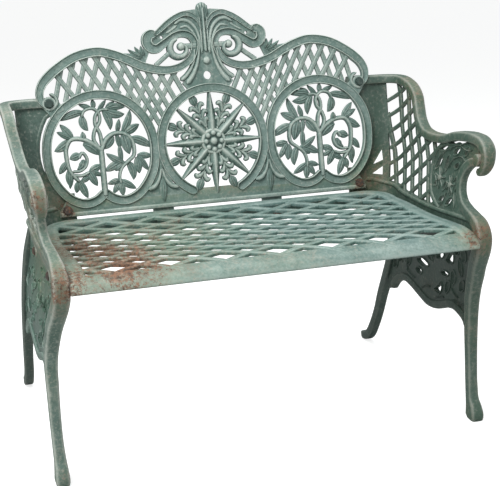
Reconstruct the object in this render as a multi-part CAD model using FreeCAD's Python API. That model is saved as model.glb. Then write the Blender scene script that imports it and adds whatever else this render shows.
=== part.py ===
"""Garden bench in cast iron, built from four castings bolted together.

Units are millimetres, +Z is up, the sitter looks toward -Y.
The origin is on the ground under the middle of the bench's bounding box.

Castings: back_panel, seat_grille, left_end, right_end.
Fasteners: M8 bolts, washers and nuts, grouped by the place they hold.
"""

import math
import os

import FreeCAD
import Part

V = FreeCAD.Vector
OUT_DIR = "parts"
CENTRE_SHIFT = -2.5                 # puts the middle of the overall depth on the origin

# ---------------------------------------------------------------- driving dimensions

BACK_RAKE = math.radians(8.63)      # lean of the back from upright
BACK_FOOT_Z = 441.0                 # height of the back panel's bottom edge
BACK_FOOT_Y = 109.5                 # front face of the back at that edge
RIM_THICK = 12.0                    # rails, rings and crest of the back
LEAF_THICK = 8.0
BAR_THICK = 6.0

RING_OUTER = 127.0                  # star ring and medallions
RING_INNER = 107.0
STAR_Z = 576.5
MEDAL_X = 250.5
MEDAL_Z = 578.5

END_WALL = 8.0                      # thickness of the pierced end walls
RAIL_WIDE = 24.0                    # arm rail, seen from above

SEAT_HALF = 401.7
SEAT_THICK = 7.0
MESH_X = 105.0                      # one seat diamond, bar centre to bar centre
MESH_Y = 54.0
MESH_BAR = 12.0
MESH_FIRST = 47.0                   # the rearmost full row of diamonds

BOLT = 8.0
BORE = 9.0
HEAD_ACROSS = 15.0
HEAD_TALL = 5.5
NUT_ACROSS = 13.0
NUT_TALL = 6.5
WASHER_DIA = 20.0
WASHER_THICK = 1.6

UPPER_BOLT = (354.0, 683.0)         # half spacing and height on the back
LOWER_BOLT = (336.0, 455.0)
LUG_BOLT = (125.0, 407.0)
SEAT_BOLTS = [(-225.0, 400.0), (0.0, 400.0)]    # (y, z) through each side of the seat
BOSS_FACE = 424.0                   # outer face of the seat bolt bosses
BOSS_REAR = 22.0                    # rear face of the flange bosses, from the back's front

# ---------------------------------------------------------------- flat drawing tools


def smooth(points):
    """A smooth curve through the points."""
    curve = Part.BSplineCurve()
    curve.interpolate([V(*p) for p in points])
    return curve


def ribbon(points, start, end=None, round_end=False):
    """A strip that follows a smooth line, its width going from start to end."""
    end = start if end is None else end
    line = smooth([(x, y, 0) for x, y in points])
    first, last = line.FirstParameter, line.LastParameter
    count = max(8, 3 * len(points))
    near, far = [], []
    for k in range(count + 1):
        t = k / count
        at = line.value(first + (last - first) * t)
        along = line.tangent(first + (last - first) * t)[0]
        side = V(-along.y, along.x, 0) * (0.5 * (start + (end - start) * t))
        near.append(at + side)
        far.append(at - side)
    left, right = Part.BSplineCurve(), Part.BSplineCurve()
    left.interpolate(near)
    right.interpolate(far)
    tail = line.tangent(last)[0] * (0.5 * end)
    if round_end:
        cap = Part.Arc(near[-1], line.value(last) + tail, far[-1]).toShape()
    else:
        cap = Part.makeLine(near[-1], far[-1])
    edges = [left.toShape(), cap, right.toShape(), Part.makeLine(far[0], near[0])]
    return Part.Face(Part.Wire(Part.__sortEdges__(edges)))


def bar(start, end, width):
    """A straight strip between two points."""
    a, b = V(start[0], start[1], 0), V(end[0], end[1], 0)
    side = V(a.y - b.y, b.x - a.x, 0).normalize() * (width / 2)
    return Part.Face(Part.makePolygon([a + side, b + side, b - side, a - side, a + side]))


def leaf(base, tip, width, bow=0.0):
    """A pointed leaf: two arcs from base to tip, bowed sideways if asked."""
    a, b = V(base[0], base[1], 0), V(tip[0], tip[1], 0)
    side = V(a.y - b.y, b.x - a.x, 0).normalize()
    middle = (a + b) * 0.5 + side * bow
    upper = Part.Arc(a, middle + side * (width / 2), b).toShape()
    lower = Part.Arc(b, middle - side * (width / 2), a).toShape()
    return Part.Face(Part.Wire([upper, lower]))


def disc(x, y, radius):
    return Part.Face(Part.Wire(Part.makeCircle(radius, V(x, y, 0))))


def outline(points):
    """A face inside a closed run of straight edges."""
    return Part.Face(Part.makePolygon([V(x, y, 0) for x, y in points + points[:1]]))


def ring(x, y, outer, inner):
    return disc(x, y, outer).cut(disc(x, y, inner))


def mirrored(faces):
    """The faces and their mirror images across the middle of the bench."""
    return faces + [f.mirror(V(0, 0, 0), V(1, 0, 0)) for f in faces]


def merged(faces):
    whole = faces[0].multiFuse(faces[1:])
    return whole.removeSplitter()


def slab(faces, back, front):
    """Faces joined and thickened between two levels of the drawing's own depth."""
    flat = merged(faces)
    flat.translate(V(0, 0, back))
    return flat.extrude(V(0, 0, front - back))


# ---------------------------------------------------------------- back panel drawing
# Drawn flat as (x, height above ground), then leaned back about its bottom edge.

STRETCH = 1 / math.cos(BACK_RAKE)


def up(height):
    """Distance up the leaning panel for a height above the ground."""
    return (height - BACK_FOOT_Z) * STRETCH


def on_panel(points):
    return [(x, up(z)) for x, z in points]


def lean(shape):
    """Put a flat drawing on the leaning front plane of the back."""
    shape.rotate(V(0, 0, 0), V(1, 0, 0), 90 - math.degrees(BACK_RAKE))
    shape.translate(V(0, BACK_FOOT_Y, BACK_FOOT_Z))
    return shape


# Shoulder rail, the dip beside the crest, the loop and the outer volute in one line.
RAIL_LINE = [(-356, 676), (-369, 690), (-371, 706), (-364, 724), (-348, 741), (-322, 760),
             (-292, 776), (-260, 784), (-236, 785), (-208, 778), (-177, 765), (-150, 751),
             (-122, 742), (-96, 737.5), (-72, 739), (-52, 746), (-36, 758), (-26, 776),
             (-24, 795), (-33, 808), (-49, 813), (-66, 810), (-82, 801), (-97, 791),
             (-112, 788), (-125, 793), (-129, 804), (-124, 814), (-115, 815)]
RAIL_TOP_END = 11                   # points of the line the lattice hangs from

HEART_OUTER = [(-32, -103), (-52, -119), (-76, -117), (-98, -98), (-118, -62)]

# Leaves of one medallion: base, tip, width and bow, from the medallion's centre.
LEAVES = [
    ((-66, 26), (-101, 4), 15, 3), ((-60, 27), (-92, 44), 11, 0), ((-58, 28), (-84, 60), 12, 0),
    ((-30, 82), (-82, 67), 13, -4), ((-12, 88), (-40, 99), 9, 0), ((-8, 88), (-9, 108), 9, 0),
    ((0, 82), (20, 105), 8, 0), ((-34, 76), (-24, 42), 14, -5), ((-36, 20), (-37, 41), 10, 0),
    ((-38, 15), (-5, -12), 17, 4), ((-46, -7), (-70, -15), 14, 0), ((-42, -18), (-56, -38), 14, 6),
    ((-76, -20), (-95, -45), 12, 0), ((-72, -36), (-77, -70), 13, 0), ((-69, -44), (-75, -78), 9, 0),
    ((-30, -45), (-2, -32), 13, 0), ((-26, -44), (-3, -56), 9, 0), ((-32, -44), (-15, -77), 13, 0),
    ((-30, -55), (-52, -66), 10, 0), ((-54, -62), (-38, -101), 13, 0),
    ((-57, -64), (-62, -88), 11, 0), ((17, 84), (60, 86), 13, 4), ((16, 84), (58, 72), 15, -5),
    ((18, 88), (38, 100), 8, 0), ((10, 84), (24, 40), 13, 5), ((38, 34), (45, 62), 9, 0),
    ((48, 32), (70, 80), 13, -4), ((54, 30), (88, 48), 14, 0), ((66, 20), (111, -3), 15, 3),
    ((50, 31), (61, -15), 18, 0), ((36, 32), (42, -3), 9, 0), ((29, 26), (8, 0), 14, 0),
    ((40, 6), (42, -34), 9, 0), ((50, -34), (10, -9), 12, 2), ((40, -29), (4, -47), 14, 0),
    ((46, -34), (26, -48), 10, 0), ((78, -18), (110, -22), 12, 0), ((78, -20), (100, -53), 11, 0),
    ((76, -22), (79, -58), 14, 0), ((54, -30), (65, -71), 14, 5), ((34, -67), (7, -75), 10, 0),
    ((34, -72), (18, -96), 11, 0), ((36, -73), (39, -103), 12, 0), ((34, -68), (69, -90), 12, 0),
]

# Stems of one medallion: points of the centre line, starting and ending width.
STEMS = [
    ([(0, -98), (0, -40), (0, 0)], 12, 11),
    ([(0, -2), (-18, 14), (-44, 26), (-64, 25), (-75, 8), (-76, -16), (-72, -40), (-54, -64)], 10, 8),
    ([(0, -2), (12, 20), (28, 31), (50, 31), (66, 20), (72, 0), (70, -18), (56, -30), (42, -42),
      (35, -60), (36, -76)], 10, 6),
    ([(3, 10), (0, 35), (-8, 55), (-4, 76), (6, 84), (22, 84)], 8, 6),
    ([(-6, 6), (-14, 22), (-10, 42), (2, 60), (2, 76), (-10, 88), (-30, 84), (-36, 72)], 8, 6),
    ([(-50, -14), (-42, -4), (-33, -16), (-36, -32), (-50, -42), (-66, -42)], 7, 6),
    ([(-66, -50), (-46, -52), (-30, -46)], 7, 6),
]


def heart():
    """The ring round one medallion, turned in at the bottom to meet the trunk."""
    lobe = [(-122, -8), (-118, -46), (-101, -79), (-78, -102), (-50, -112), (-24, -106), (-8, -94)]
    arch = ring(0, 0, RING_OUTER, RING_INNER)
    top_only = outline([(-140, -20), (140, -20), (140, 140), (-140, 140)])
    sides = [ribbon([(-117, 4)] + [(x + 6, y) for x, y in lobe], 20)]
    sides.append(ribbon([(117, 4)] + [(-x - 6, y) for x, y in lobe], 20))
    return [arch.common(top_only)] + sides


def placed(face, x, height):
    moved = face.copy()
    moved.translate(V(x, up(height), 0))
    return moved


def rail_height(x):
    """Height of the shoulder rail's centre above a place on the back."""
    line = RAIL_LINE[3:RAIL_TOP_END + 6]
    for (xa, za), (xb, zb) in zip(line, line[1:]):
        if xa <= x <= xb:
            return za + (zb - za) * (x - xa) / (xb - xa)
    return line[-1][1]


def lattice_bar(top_x, slope):
    """One bar from the shoulder rail down to whichever ring it meets first."""
    top = (top_x, rail_height(top_x))
    step = 1.5
    run = step / math.hypot(1, slope) * (-1 if slope > 0 else 1)
    x, z = top
    while z > BACK_FOOT_Z + 60:
        x, z = x + run, z + run * slope
        from_medal = math.hypot(x + MEDAL_X, z - MEDAL_Z)
        from_star = math.hypot(x, z - STAR_Z)
        if min(from_medal, from_star) < RING_OUTER - 8:
            break
    return bar((top[0], up(top[1])), (x, up(z)), 8.5)


def back_lattice():
    falling = [lattice_bar(-337 + 28.3 * k, -1.45 - 0.09 * min(k, 6)) for k in range(10)]
    rising = [lattice_bar(-318 + 28.0 * k, 3.6 - 0.26 * min(k, 8)) for k in range(10)]
    return falling + rising


def star():
    """Eight long points, eight leafy sprigs and a rosette with eight petals."""
    faces = []
    for k in range(8):
        angle = math.radians(45 * k)
        cos, sin = math.cos(angle), math.sin(angle)
        spear = [(18, -7), (38, -9.5), (118, -1.2), (118, 1.2), (38, 9.5), (18, 7)]
        faces.append(outline([(x * cos - y * sin, x * sin + y * cos) for x, y in spear]))
        faces.extend(sprig(45 * k + 22.5))
    faces.append(disc(0, 0, 28))
    return faces


def sprig(degrees):
    """A stem with three pairs of round lobes and a bud against the ring."""
    angle = math.radians(degrees)
    cos, sin = math.cos(angle), math.sin(angle)

    def turn(x, y):
        return (x * cos - y * sin, x * sin + y * cos)

    faces = [bar(turn(24, 0), turn(104, 0), 5)]
    faces.append(leaf(turn(96, 0), turn(120, 0), 12))
    for reach, size in ((46, 13), (66, 20), (84, 19)):
        for side in (-1, 1):
            faces.append(leaf(turn(reach - 3, 0), turn(reach + 10, side * size), 8.5, side * -2))
    return faces


def crest():
    """Palmette crest: arch, stem plate, reeds, inner eyes and shoulder leaves."""
    arch = [(0, 700), (-52, 696), (-60, 706), (-46, 722), (-35, 742), (-30, 770), (-28, 800),
            (-52, 816), (-74, 812), (-98, 800), (-108, 812), (-100, 823), (-80, 839),
            (-60, 852), (-40, 862), (-18, 866)]
    half = outline(on_panel(arch + [(0, 866)]))
    eye = disc(-57, up(784), 23)
    moon = disc(-50, up(794), 16).cut(disc(-55, up(783), 13.5))
    knob = disc(0, up(866), 14)
    holes = [disc(-96, up(808), 3.5), disc(-74, up(822), 3.0), disc(-58, up(832), 3.5)]
    plate = half.fuse([bar((-45, up(786)), (-26, up(786)), 12)])
    for hole in holes:
        plate = plate.cut(hole)
    reed = ribbon(on_panel([(-24, 760), (-30, 740), (-40, 722), (-51, 708)]), 13, 17, True)
    stay = bar((-112, up(750)), (-76, up(776)), 9)
    spur = leaf((-138, up(762)), (-181, up(789)), 13, -3)
    web = outline(on_panel([(-170, 770), (-160, 783), (-132, 797), (-126, 782), (-138, 755)]))
    return [plate, eye.cut(moon), reed, stay, spur, web], knob


def fleur():
    """The small bud and two side curls below each pair of touching rings."""
    faces = [leaf((0, 530), (0, 454), 14), leaf((-4, 500), (-24, 478), 9), leaf((4, 500), (24, 478), 9)]
    for face in faces:
        face.translate(V(-123, -BACK_FOOT_Z, 0))
    return faces


def scroll_end():
    """The round boss and inner curl that finish the shoulder rail."""
    boss = disc(-353, up(683), 15)
    curl = ribbon(on_panel([(-356, 672), (-342, 676), (-336, 690), (-342, 702), (-352, 704)]), 9, 7, True)
    neck = outline(on_panel([(-366, 676), (-350, 657), (-322, 668), (-336, 690), (-356, 694)]))
    return [boss, curl, neck]


def back_panel():
    rail = ribbon(on_panel(RAIL_LINE), 21, 13, True)
    crest_faces, knob = crest()
    frame = [rail] + crest_faces + scroll_end()
    frame += [placed(f, -MEDAL_X, MEDAL_Z) for f in heart()]
    frame.append(outline(on_panel([(-150, 470), (-96, 470), (-121, 560), (-126, 560)])))
    frame = mirrored(frame)
    foot_half = [(-352, 441), (-352, 452), (-335, 476)]
    foot = foot_half + [(-x, z) for x, z in reversed(foot_half)]
    frame.append(outline(on_panel(foot)))
    frame.append(placed(ring(0, 0, RING_OUTER, RING_INNER), 0, STAR_Z))
    frame.append(knob)
    rim = slab(frame, -RIM_THICK, 0)

    bars = slab(mirrored(back_lattice()), -RIM_THICK + 3, -RIM_THICK + 3 + BAR_THICK)
    growth = []
    for points, start, end in STEMS:
        growth.append(ribbon(points, start, end))
    for base, tip, width, bow in LEAVES:
        growth.append(leaf(base, tip, width, bow))
    growth = [placed(f, -MEDAL_X, MEDAL_Z) for f in growth]
    foliage = slab(mirrored(growth), -RIM_THICK + 2, -RIM_THICK + 2 + LEAF_THICK)
    rays = slab([placed(f, 0, STAR_Z) for f in star()], -RIM_THICK + 1, 1.5)

    petals = [Part.makeCylinder(9, 7, V(0, up(STAR_Z), 0), V(0, 0, 1))]
    for k in range(8):
        angle = math.radians(45 * k)
        at = V(19 * math.cos(angle), up(STAR_Z) + 19 * math.sin(angle), 1)
        petals.append(Part.makeSphere(6.5, at))
    beads = [ring(0, up(STAR_Z), RING_OUTER, RING_OUTER - 7)]
    beads += mirrored([ring(-MEDAL_X, up(MEDAL_Z), RING_OUTER, RING_OUTER - 7).common(
        outline([(-400, up(560)), (0, up(560)), (0, up(760)), (-400, up(760))]))])
    raised = [face.extrude(V(0, 0, 3)) for face in beads]
    buds = [face.extrude(V(0, 0, 4)) for face in mirrored(fleur())]
    lip = outline([(-350, 2), (350, 2), (350, 10), (-350, 10)]).extrude(V(0, 0, 3))
    lugs = []
    for side in (-1, 1):
        box = Part.makeBox(46, 58, 7, V(side * LUG_BOLT[0] - 23, -48, -RIM_THICK))
        lugs.append(box)
    whole = rim.multiFuse([bars, foliage, rays, lip] + petals + raised + buds + lugs)

    drills = []
    for x, z in (UPPER_BOLT, LOWER_BOLT, LUG_BOLT):
        for side in (-1, 1):
            drills.append(Part.makeCylinder(BORE / 2, 60, V(side * x, up(z), -30)))
    drills.append(Part.makeCylinder(8, 60, V(0, up(721), -30)))
    return lean(whole.cut(Part.makeCompound(drills)))


# ---------------------------------------------------------------- seat

LUG_PAD = 22.0                      # front face of the lug pads, from the back's front

# Side view of the seat's top face, rear edge to rolled front lip.
SEAT_TOP = [(100, 438), (75, 434), (47, 429), (-10, 425), (-80, 422), (-180, 423),
            (-280, 426), (-325, 424), (-346, 414), (-361, 397)]


def seat_section():
    """Closed side profile of the seat: dished top, rolled lip, even thickness."""
    top = smooth([(0, y, z) for y, z in SEAT_TOP])
    below = [(SEAT_TOP[0][0], SEAT_TOP[0][1] - SEAT_THICK)]
    below += [(y, z - SEAT_THICK) for y, z in SEAT_TOP[1:-3]]
    below += [(-321, 416.5), (-339, 408), (-353, 392)]
    under = smooth([(0, y, z) for y, z in below])
    front = Part.makeLine(V(0, -361, 397), V(0, -353, 392))
    rear = Part.makeLine(V(0, below[0][0], below[0][1]), V(0, 100, 438))
    edges = Part.__sortEdges__([top.toShape(), front, under.toShape(), rear])
    return Part.Face(Part.Wire(edges))


def diamond(x, y):
    """One see-through diamond of the seat mesh, ready to cut downward."""
    slant = math.hypot(MESH_X, MESH_Y)
    shrink = 1 - MESH_BAR * slant / (MESH_X * MESH_Y)
    a, b = MESH_X / 2 * shrink, MESH_Y / 2 * shrink
    corners = [V(x + a, y, 360), V(x, y + b, 360), V(x - a, y, 360), V(x, y - b, 360)]
    face = Part.Face(Part.makePolygon(corners + corners[:1]))
    return face.extrude(V(0, 0, 120))


def seat_mesh_holes():
    field = Part.makeBox(742, 412, 140, V(-371, -337, 350))
    holes = []
    for row in range(-1, 16):
        y = MESH_FIRST - row * MESH_Y / 2
        shift = MESH_X / 2 if row % 2 == 0 else 0
        for k in range(-4, 5):
            x = k * MESH_X + shift
            if abs(x) < 371 + MESH_X / 2 and y < 76:
                holes.append(diamond(x, y))
    return Part.makeCompound(holes).common(field)


def seat_grille():
    sheet = seat_section().extrude(V(2 * SEAT_HALF, 0, 0))
    sheet.translate(V(-SEAT_HALF, 0, 0))
    sheet = sheet.cut(seat_mesh_holes())
    ribs = [Part.makeBox(2 * 370, 8, 34, V(-370, 92, 400))]
    for side in (-1, 1):
        left = side * SEAT_HALF - (8 if side > 0 else 0)
        ribs.append(Part.makeBox(8, 370, 35, V(left, -320, 386)))
        pad = Part.makeBox(46, 40, LUG_PAD + 4.7, V(side * LUG_BOLT[0] - 23, -48, -4.7))
        ribs.append(lean(pad))
    whole = sheet.multiFuse(ribs)
    for side in (-1, 1):
        corner = [V(side * x, y, 350) for x, y in
                  ((402, 48), (393, 80), (372, 101), (420, 101), (420, 48), (402, 48))]
        whole = whole.cut(Part.Face(Part.makePolygon(corner)).extrude(V(0, 0, 120)))
        for y, z in SEAT_BOLTS:
            whole = whole.cut(Part.makeCylinder(BORE / 2, 60, V(side * 370, y, z), V(side, 0, 0)))
        drill = Part.makeCylinder(BORE / 2, 80, V(side * LUG_BOLT[0], up(LUG_BOLT[1]), -30))
        whole = whole.cut(lean(drill))
    return whole


# ---------------------------------------------------------------- end frames
# Side drawings are (y, z); the wall's sideways place changes with height.

# Height: middle of the end wall and of the front rim, measured from the bench's middle.
WALL_AT = [(380, 416), (440, 419), (480, 427), (520, 435), (580, 438), (650, 448), (710, 452)]


def wall_x(z):
    for (za, xa), (zb, xb) in zip(WALL_AT, WALL_AT[1:]):
        if z <= zb:
            return xa + (xb - xa) * max(0, z - za) / (zb - za)
    return WALL_AT[-1][1]


def flange_y(z):
    """Middle of the flange that runs behind the back panel, at a height."""
    gap = 0.5
    return BACK_FOOT_Y + (z - BACK_FOOT_Z) * math.tan(BACK_RAKE) + RIM_THICK * STRETCH + gap + END_WALL / 2


def plan_strip(z, thickness):
    """The end wall cut level: along the side, round the rear corner, in behind the back."""
    x, y = wall_x(z), flange_y(z)
    middle = [(x - 1, -370), (x, -200), (x + 1, y - 100), (x - 6, y - 46), (x - 27, y - 12),
              (x - 60, y), (x - 90, y), (300, y)]
    line = smooth([(px, py, z) for px, py in middle])
    first, last = line.FirstParameter, line.LastParameter
    near, far = [], []
    for k in range(17):
        t = first + (last - first) * k / 16
        at, along = line.value(t), line.tangent(t)[0]
        side = V(-along.y, along.x, 0) * (thickness / 2)
        near.append(at + side)
        far.append(at - side)
    one, two = Part.BSplineCurve(), Part.BSplineCurve()
    one.interpolate(near)
    two.interpolate(far)
    return Part.Wire([one.toShape(), Part.makeLine(near[-1], far[-1]),
                      two.toShape().reversed(), Part.makeLine(far[0], near[0])])


def wall_block(thickness):
    levels = [405, 440, 480, 520, 580, 650, 715]
    return Part.makeLoft([plan_strip(z, thickness) for z in levels], True, False)


def prism(points, curved=False):
    """A side drawing (y, z) carried right across the end frame."""
    if curved:
        wire = Part.Wire([smooth([(300, y, z) for y, z in points + points[:1]]).toShape()])
    else:
        wire = Part.makePolygon([V(300, y, z) for y, z in points + points[:1]])
    return Part.Face(wire).extrude(V(200, 0, 0))


def side_strip(points, start, end=None, round_end=False):
    """A ribbon in the side drawing, as a prism across the end frame."""
    face = ribbon(points, start, end, round_end)
    turned = face.rotated(V(0, 0, 0), V(1, 1, 1), 120)
    turned.translate(V(300, 0, 0))
    return turned.extrude(V(200, 0, 0))


# Arm rail: from the rolled front over the arm, up the sweep and back to the corner.
ARM_RAIL = [(-282, 530), (-300, 533), (-318, 552), (-318, 574), (-298, 589), (-262, 595),
            (-222, 594), (-180, 589), (-138, 579), (-97, 576), (-58, 577), (-26, 584), (0, 602),
            (20, 630), (36, 653), (58, 668), (90, 678), (128, 683), (170, 683)]
# Front rim: from under the arm roll, back in a hollow, out to the knee.
FRONT_RIM = [(-276, 547), (-254, 545), (-232, 527), (-222, 503), (-223, 482), (-238, 463),
             (-270, 450), (-305, 440), (-332, 428), (-343, 408), (-338, 390)]
DIVIDER = [(-159, 573), (-124, 564), (-97, 549), (-84, 530), (-80, 508), (-84, 485), (-95, 462),
           (-121, 443), (-143, 433)]


def arm_outline():
    """Everything of the end wall inside the rails and above the seat band."""
    return [(-250, 545), (-222, 503), (-238, 463), (-320, 434), (-340, 418), (-340, 405),
            (160, 405), (160, 684), (90, 678), (36, 653), (0, 602), (-58, 577), (-138, 579),
            (-262, 595), (-285, 575)]


def lattice_holes():
    """Slanted openings of the side lattice, a skewed grid of small parallelograms."""
    holes = []
    for row in range(-2, 9):
        for column in range(-6, 4):
            y = -6 + 23 * column + 15 * row
            z = 472 - 25 * column + 34 * row
            inside = -72 + 0.42 * (z - 461) < y < 90 and 446 < z < 668
            if inside and z < rail_under(y):
                holes.append(prism([(y - 14, z + 3), (y - 4, z + 14 + 2), (y + 14, z - 3), (y + 4, z - 16)]))
    return holes


def rail_under(y):
    """Highest centre a lattice opening may have and stay clear of the arm rail."""
    for (ya, za), (yb, zb) in zip(ARM_RAIL[8:], ARM_RAIL[9:]):
        if ya <= y <= yb:
            return za + (zb - za) * (y - ya) / (yb - ya) - 24
    return 560


FLOWER_HOLES = [
    ((-238, 586), (-160, 574), 9), ((-246, 572), (-226, 556), 10), ((-206, 566), (-180, 553), 9),
    ((-150, 566), (-112, 555), 12), ((-160, 545), (-140, 512), 12), ((-130, 545), (-98, 512), 13),
    ((-200, 505), (-180, 470), 9), ((-196, 462), (-172, 446), 9), ((-160, 460), (-138, 448), 9),
    ((-128, 492), (-104, 478), 9), ((-205, 535), (-186, 524), 8), ((-158, 490), (-148, 474), 8),
]


def upper_holes():
    cuts = lattice_holes()
    for base, tip, width in FLOWER_HOLES:
        face = leaf(base, tip, width)
        turned = face.rotated(V(0, 0, 0), V(1, 1, 1), 120)
        turned.translate(V(300, 0, 0))
        cuts.append(turned.extrude(V(200, 0, 0)))
    return cuts


def corner_cuts():
    """Openings in the rear corner: a lattice column and two small fan-shaped holes."""
    cuts = []
    for k in range(6):
        z = 495 + 34 * k
        y = flange_y(z) - 12
        x = wall_x(z) - 26
        box = Part.makeBox(13, 60, 20, V(-6.5, -30, -10))
        box.rotate(V(0, 0, 0), V(0, 0, 1), -50)
        box.translate(V(x, y, z))
        cuts.append(box)
    for fan in (((377, 489), (403, 524), (404, 500)), ((374, 470), (402, 486), (400, 466))):
        pts = [V(x, 60, z) for x, z in fan]
        cuts.append(Part.Face(Part.makePolygon(pts + pts[:1])).extrude(V(0, 90, 0)))
    return cuts


def flange_trim():
    """Space the rear flange leaves open round the back panel's medallion ring."""
    hollow = Part.makeCylinder(RING_OUTER + 6, 200, V(MEDAL_X, 40, MEDAL_Z), V(0, 1, 0))
    keep = Part.makeBox(58, 200, 60, V(312, 40, 428))
    ear = Part.makeBox(46, 200, 60, V(332, 40, 668))
    return hollow.cut(keep).cut(ear)


def upper_wall():
    """Pierced side wall with its rails, above the seat."""
    thin = wall_block(END_WALL)
    wide = wall_block(RAIL_WIDE)
    panel = thin.common(prism(arm_outline()))
    panel = panel.cut(Part.makeCompound(upper_holes() + corner_cuts()))
    rails = [wide.common(side_strip(ARM_RAIL, 20, 22)),
             wide.common(side_strip(FRONT_RIM, 20, 24)),
             wall_block(14).common(side_strip(DIVIDER, 11))]
    floor = wide.common(prism([(-345, 402), (-345, 420), (-300, 434), (-60, 438), (170, 446),
                               (170, 402)]))
    roll = Part.makeCylinder(12, 32, V(wall_x(560) - 16, -296, 548), V(1, 0, 0))
    whole = panel.multiFuse(rails + [floor, roll])
    behind = [V(200, flange_y(z) - END_WALL / 2, z) for z in (380, 760)]
    front_room = Part.Face(Part.makePolygon([behind[0], behind[1], V(200, -400, 760), V(200, -400, 380),
                                             behind[0]])).extrude(V(182, 0, 0))
    whole = whole.cut(front_room)
    inner = Part.makeBox(150, 300, 400, V(182, -60, 380)).cut(Part.makeBox(40, 300, 60, V(314, -60, 428)))
    top_off = Part.makeBox(60, 300, 100, V(300, 0, 697))
    return whole.cut(flange_trim()).cut(inner).cut(top_off)


# Legs: centre line points (x, y, z) and the width of the round bar there.
FRONT_LEG = [(415, -340, 408, 30), (418, -322, 368, 27), (427, -290, 322, 25), (434, -260, 270, 24),
             (436, -249, 200, 23), (436, -250, 130, 22), (435, -254, 70, 22), (434, -262, 34, 24)]
REAR_LEG = [(414, 118, 418, 20), (424, 132, 368, 23), (431, 142, 310, 24), (434, 158, 258, 25),
            (435, 190, 205, 24), (435, 224, 150, 23), (435, 252, 98, 22), (434, 282, 52, 22),
            (434, 306, 28, 22)]


def round_bar(stations):
    """A round bar of changing width through the stations."""
    line = smooth([station[:3] for station in stations])
    wires = []
    for x, y, z, width in stations:
        along = line.tangent(line.parameter(V(x, y, z)))[0]
        wires.append(Part.Wire(Part.makeCircle(width / 2, V(x, y, z), along)))
    return Part.makeLoft(wires, True, False)


APRON = [(-262, 408), (-300, 404), (-300, 350), (-262, 270), (-244, 215), (-226, 207), (-202, 214),
         (-176, 217), (-150, 213), (-125, 205), (-98, 197), (-72, 193), (-46, 193), (-20, 199),
         (10, 207), (42, 215), (72, 219), (100, 214), (126, 202), (168, 178), (176, 200),
         (158, 258), (142, 310), (132, 368), (122, 405)]
APRON_EDGE = [(-246, 190), (-232, 210), (-204, 222), (-176, 226), (-150, 222), (-125, 214),
              (-98, 206), (-72, 202), (-46, 202), (-20, 208), (10, 216), (42, 224), (72, 228),
              (102, 222), (130, 208), (150, 190)]
# Openings between the apron's scrolling leaves: base, tip, width, bow.
APRON_HOLES = [
    ((-262, 366), (-243, 338), 13, 0), ((-232, 362), (-214, 350), 9, 0), ((-228, 338), (-222, 302), 12, 0),
    ((-232, 290), (-212, 268), 12, 0), ((-200, 352), (-160, 322), 13, -7), ((-190, 304), (-176, 274), 13, 0),
    ((-150, 334), (-112, 318), 14, 4), ((-164, 272), (-142, 246), 11, 3), ((-120, 262), (-86, 240), 11, -8),
    ((-158, 290), (-124, 286), 7, 0), ((-56, 288), (0, 288), 12, 0), ((-20, 264), (10, 262), 10, 0),
    ((40, 290), (56, 264), 11, 0), ((84, 276), (106, 262), 9, 0), ((116, 262), (138, 240), 11, 0),
    ((-100, 340), (-62, 350), 13, 4), ((-40, 346), (0, 336), 13, -4), ((20, 340), (56, 350), 13, 4),
    ((76, 344), (108, 326), 13, 0), ((-84, 306), (-60, 318), 9, 0), ((14, 310), (36, 322), 9, 0),
    ((-250, 390), (-190, 384), 10, 0), ((-150, 384), (-90, 384), 10, 0), ((40, 384), (96, 384), 10, 0),
]


def apron_wall():
    """The pierced wall between the legs, curving out below the seat."""
    def strip(z, x, half):
        corners = [V(x - half, -310, z), V(x + half, -310, z), V(x + half, 190, z), V(x - half, 190, z)]
        return Part.makePolygon(corners + corners[:1])

    stations = [(412, 416), (370, 419), (330, 427), (290, 433), (250, 435), (170, 435)]
    thin = Part.makeLoft([strip(z, x, 4) for z, x in stations], True, False)
    wide = Part.makeLoft([strip(z, x, 9) for z, x in stations], True, False)
    cuts = []
    for base, tip, width, bow in APRON_HOLES:
        turned = leaf(base, tip, width, bow).rotated(V(0, 0, 0), V(1, 1, 1), 120)
        turned.translate(V(300, 0, 0))
        cuts.append(turned.extrude(V(200, 0, 0)))
    panel = thin.common(prism(APRON)).cut(Part.makeCompound(cuts))
    return [panel, wide.common(side_strip(APRON_EDGE, 18))]


def feet():
    """Rounded front foot kicking forward and rear foot trailing back, flat underneath."""
    front = Part.makeLoft([
        Part.Wire(Part.makeCircle(12, V(434, -258, 40))),
        Part.Wire(Part.Ellipse(V(434, -266, 22), 20, 13.5).toShape().rotated(V(434, -266, 22), V(0, 0, 1), 90)),
        Part.Wire(Part.Ellipse(V(434, -270, 8), 22, 14).toShape().rotated(V(434, -270, 8), V(0, 0, 1), 90)),
        Part.Wire(Part.Ellipse(V(434, -264, 0), 15, 10).toShape().rotated(V(434, -264, 0), V(0, 0, 1), 90)),
    ], True, False)
    rear = round_bar([(434, 292, 40, 22), (434, 312, 22, 23), (434, 338, 14, 22), (434, 357, 12, 16)])
    rear = rear.fuse(Part.makeSphere(8, V(434, 358, 12)))
    ground = Part.makeBox(200, 900, 100, V(340, -450, -100))
    pad = Part.makeBox(16, 40, 12, V(426, 306, 0))
    return [front, rear.fuse(pad).cut(ground)]


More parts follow.
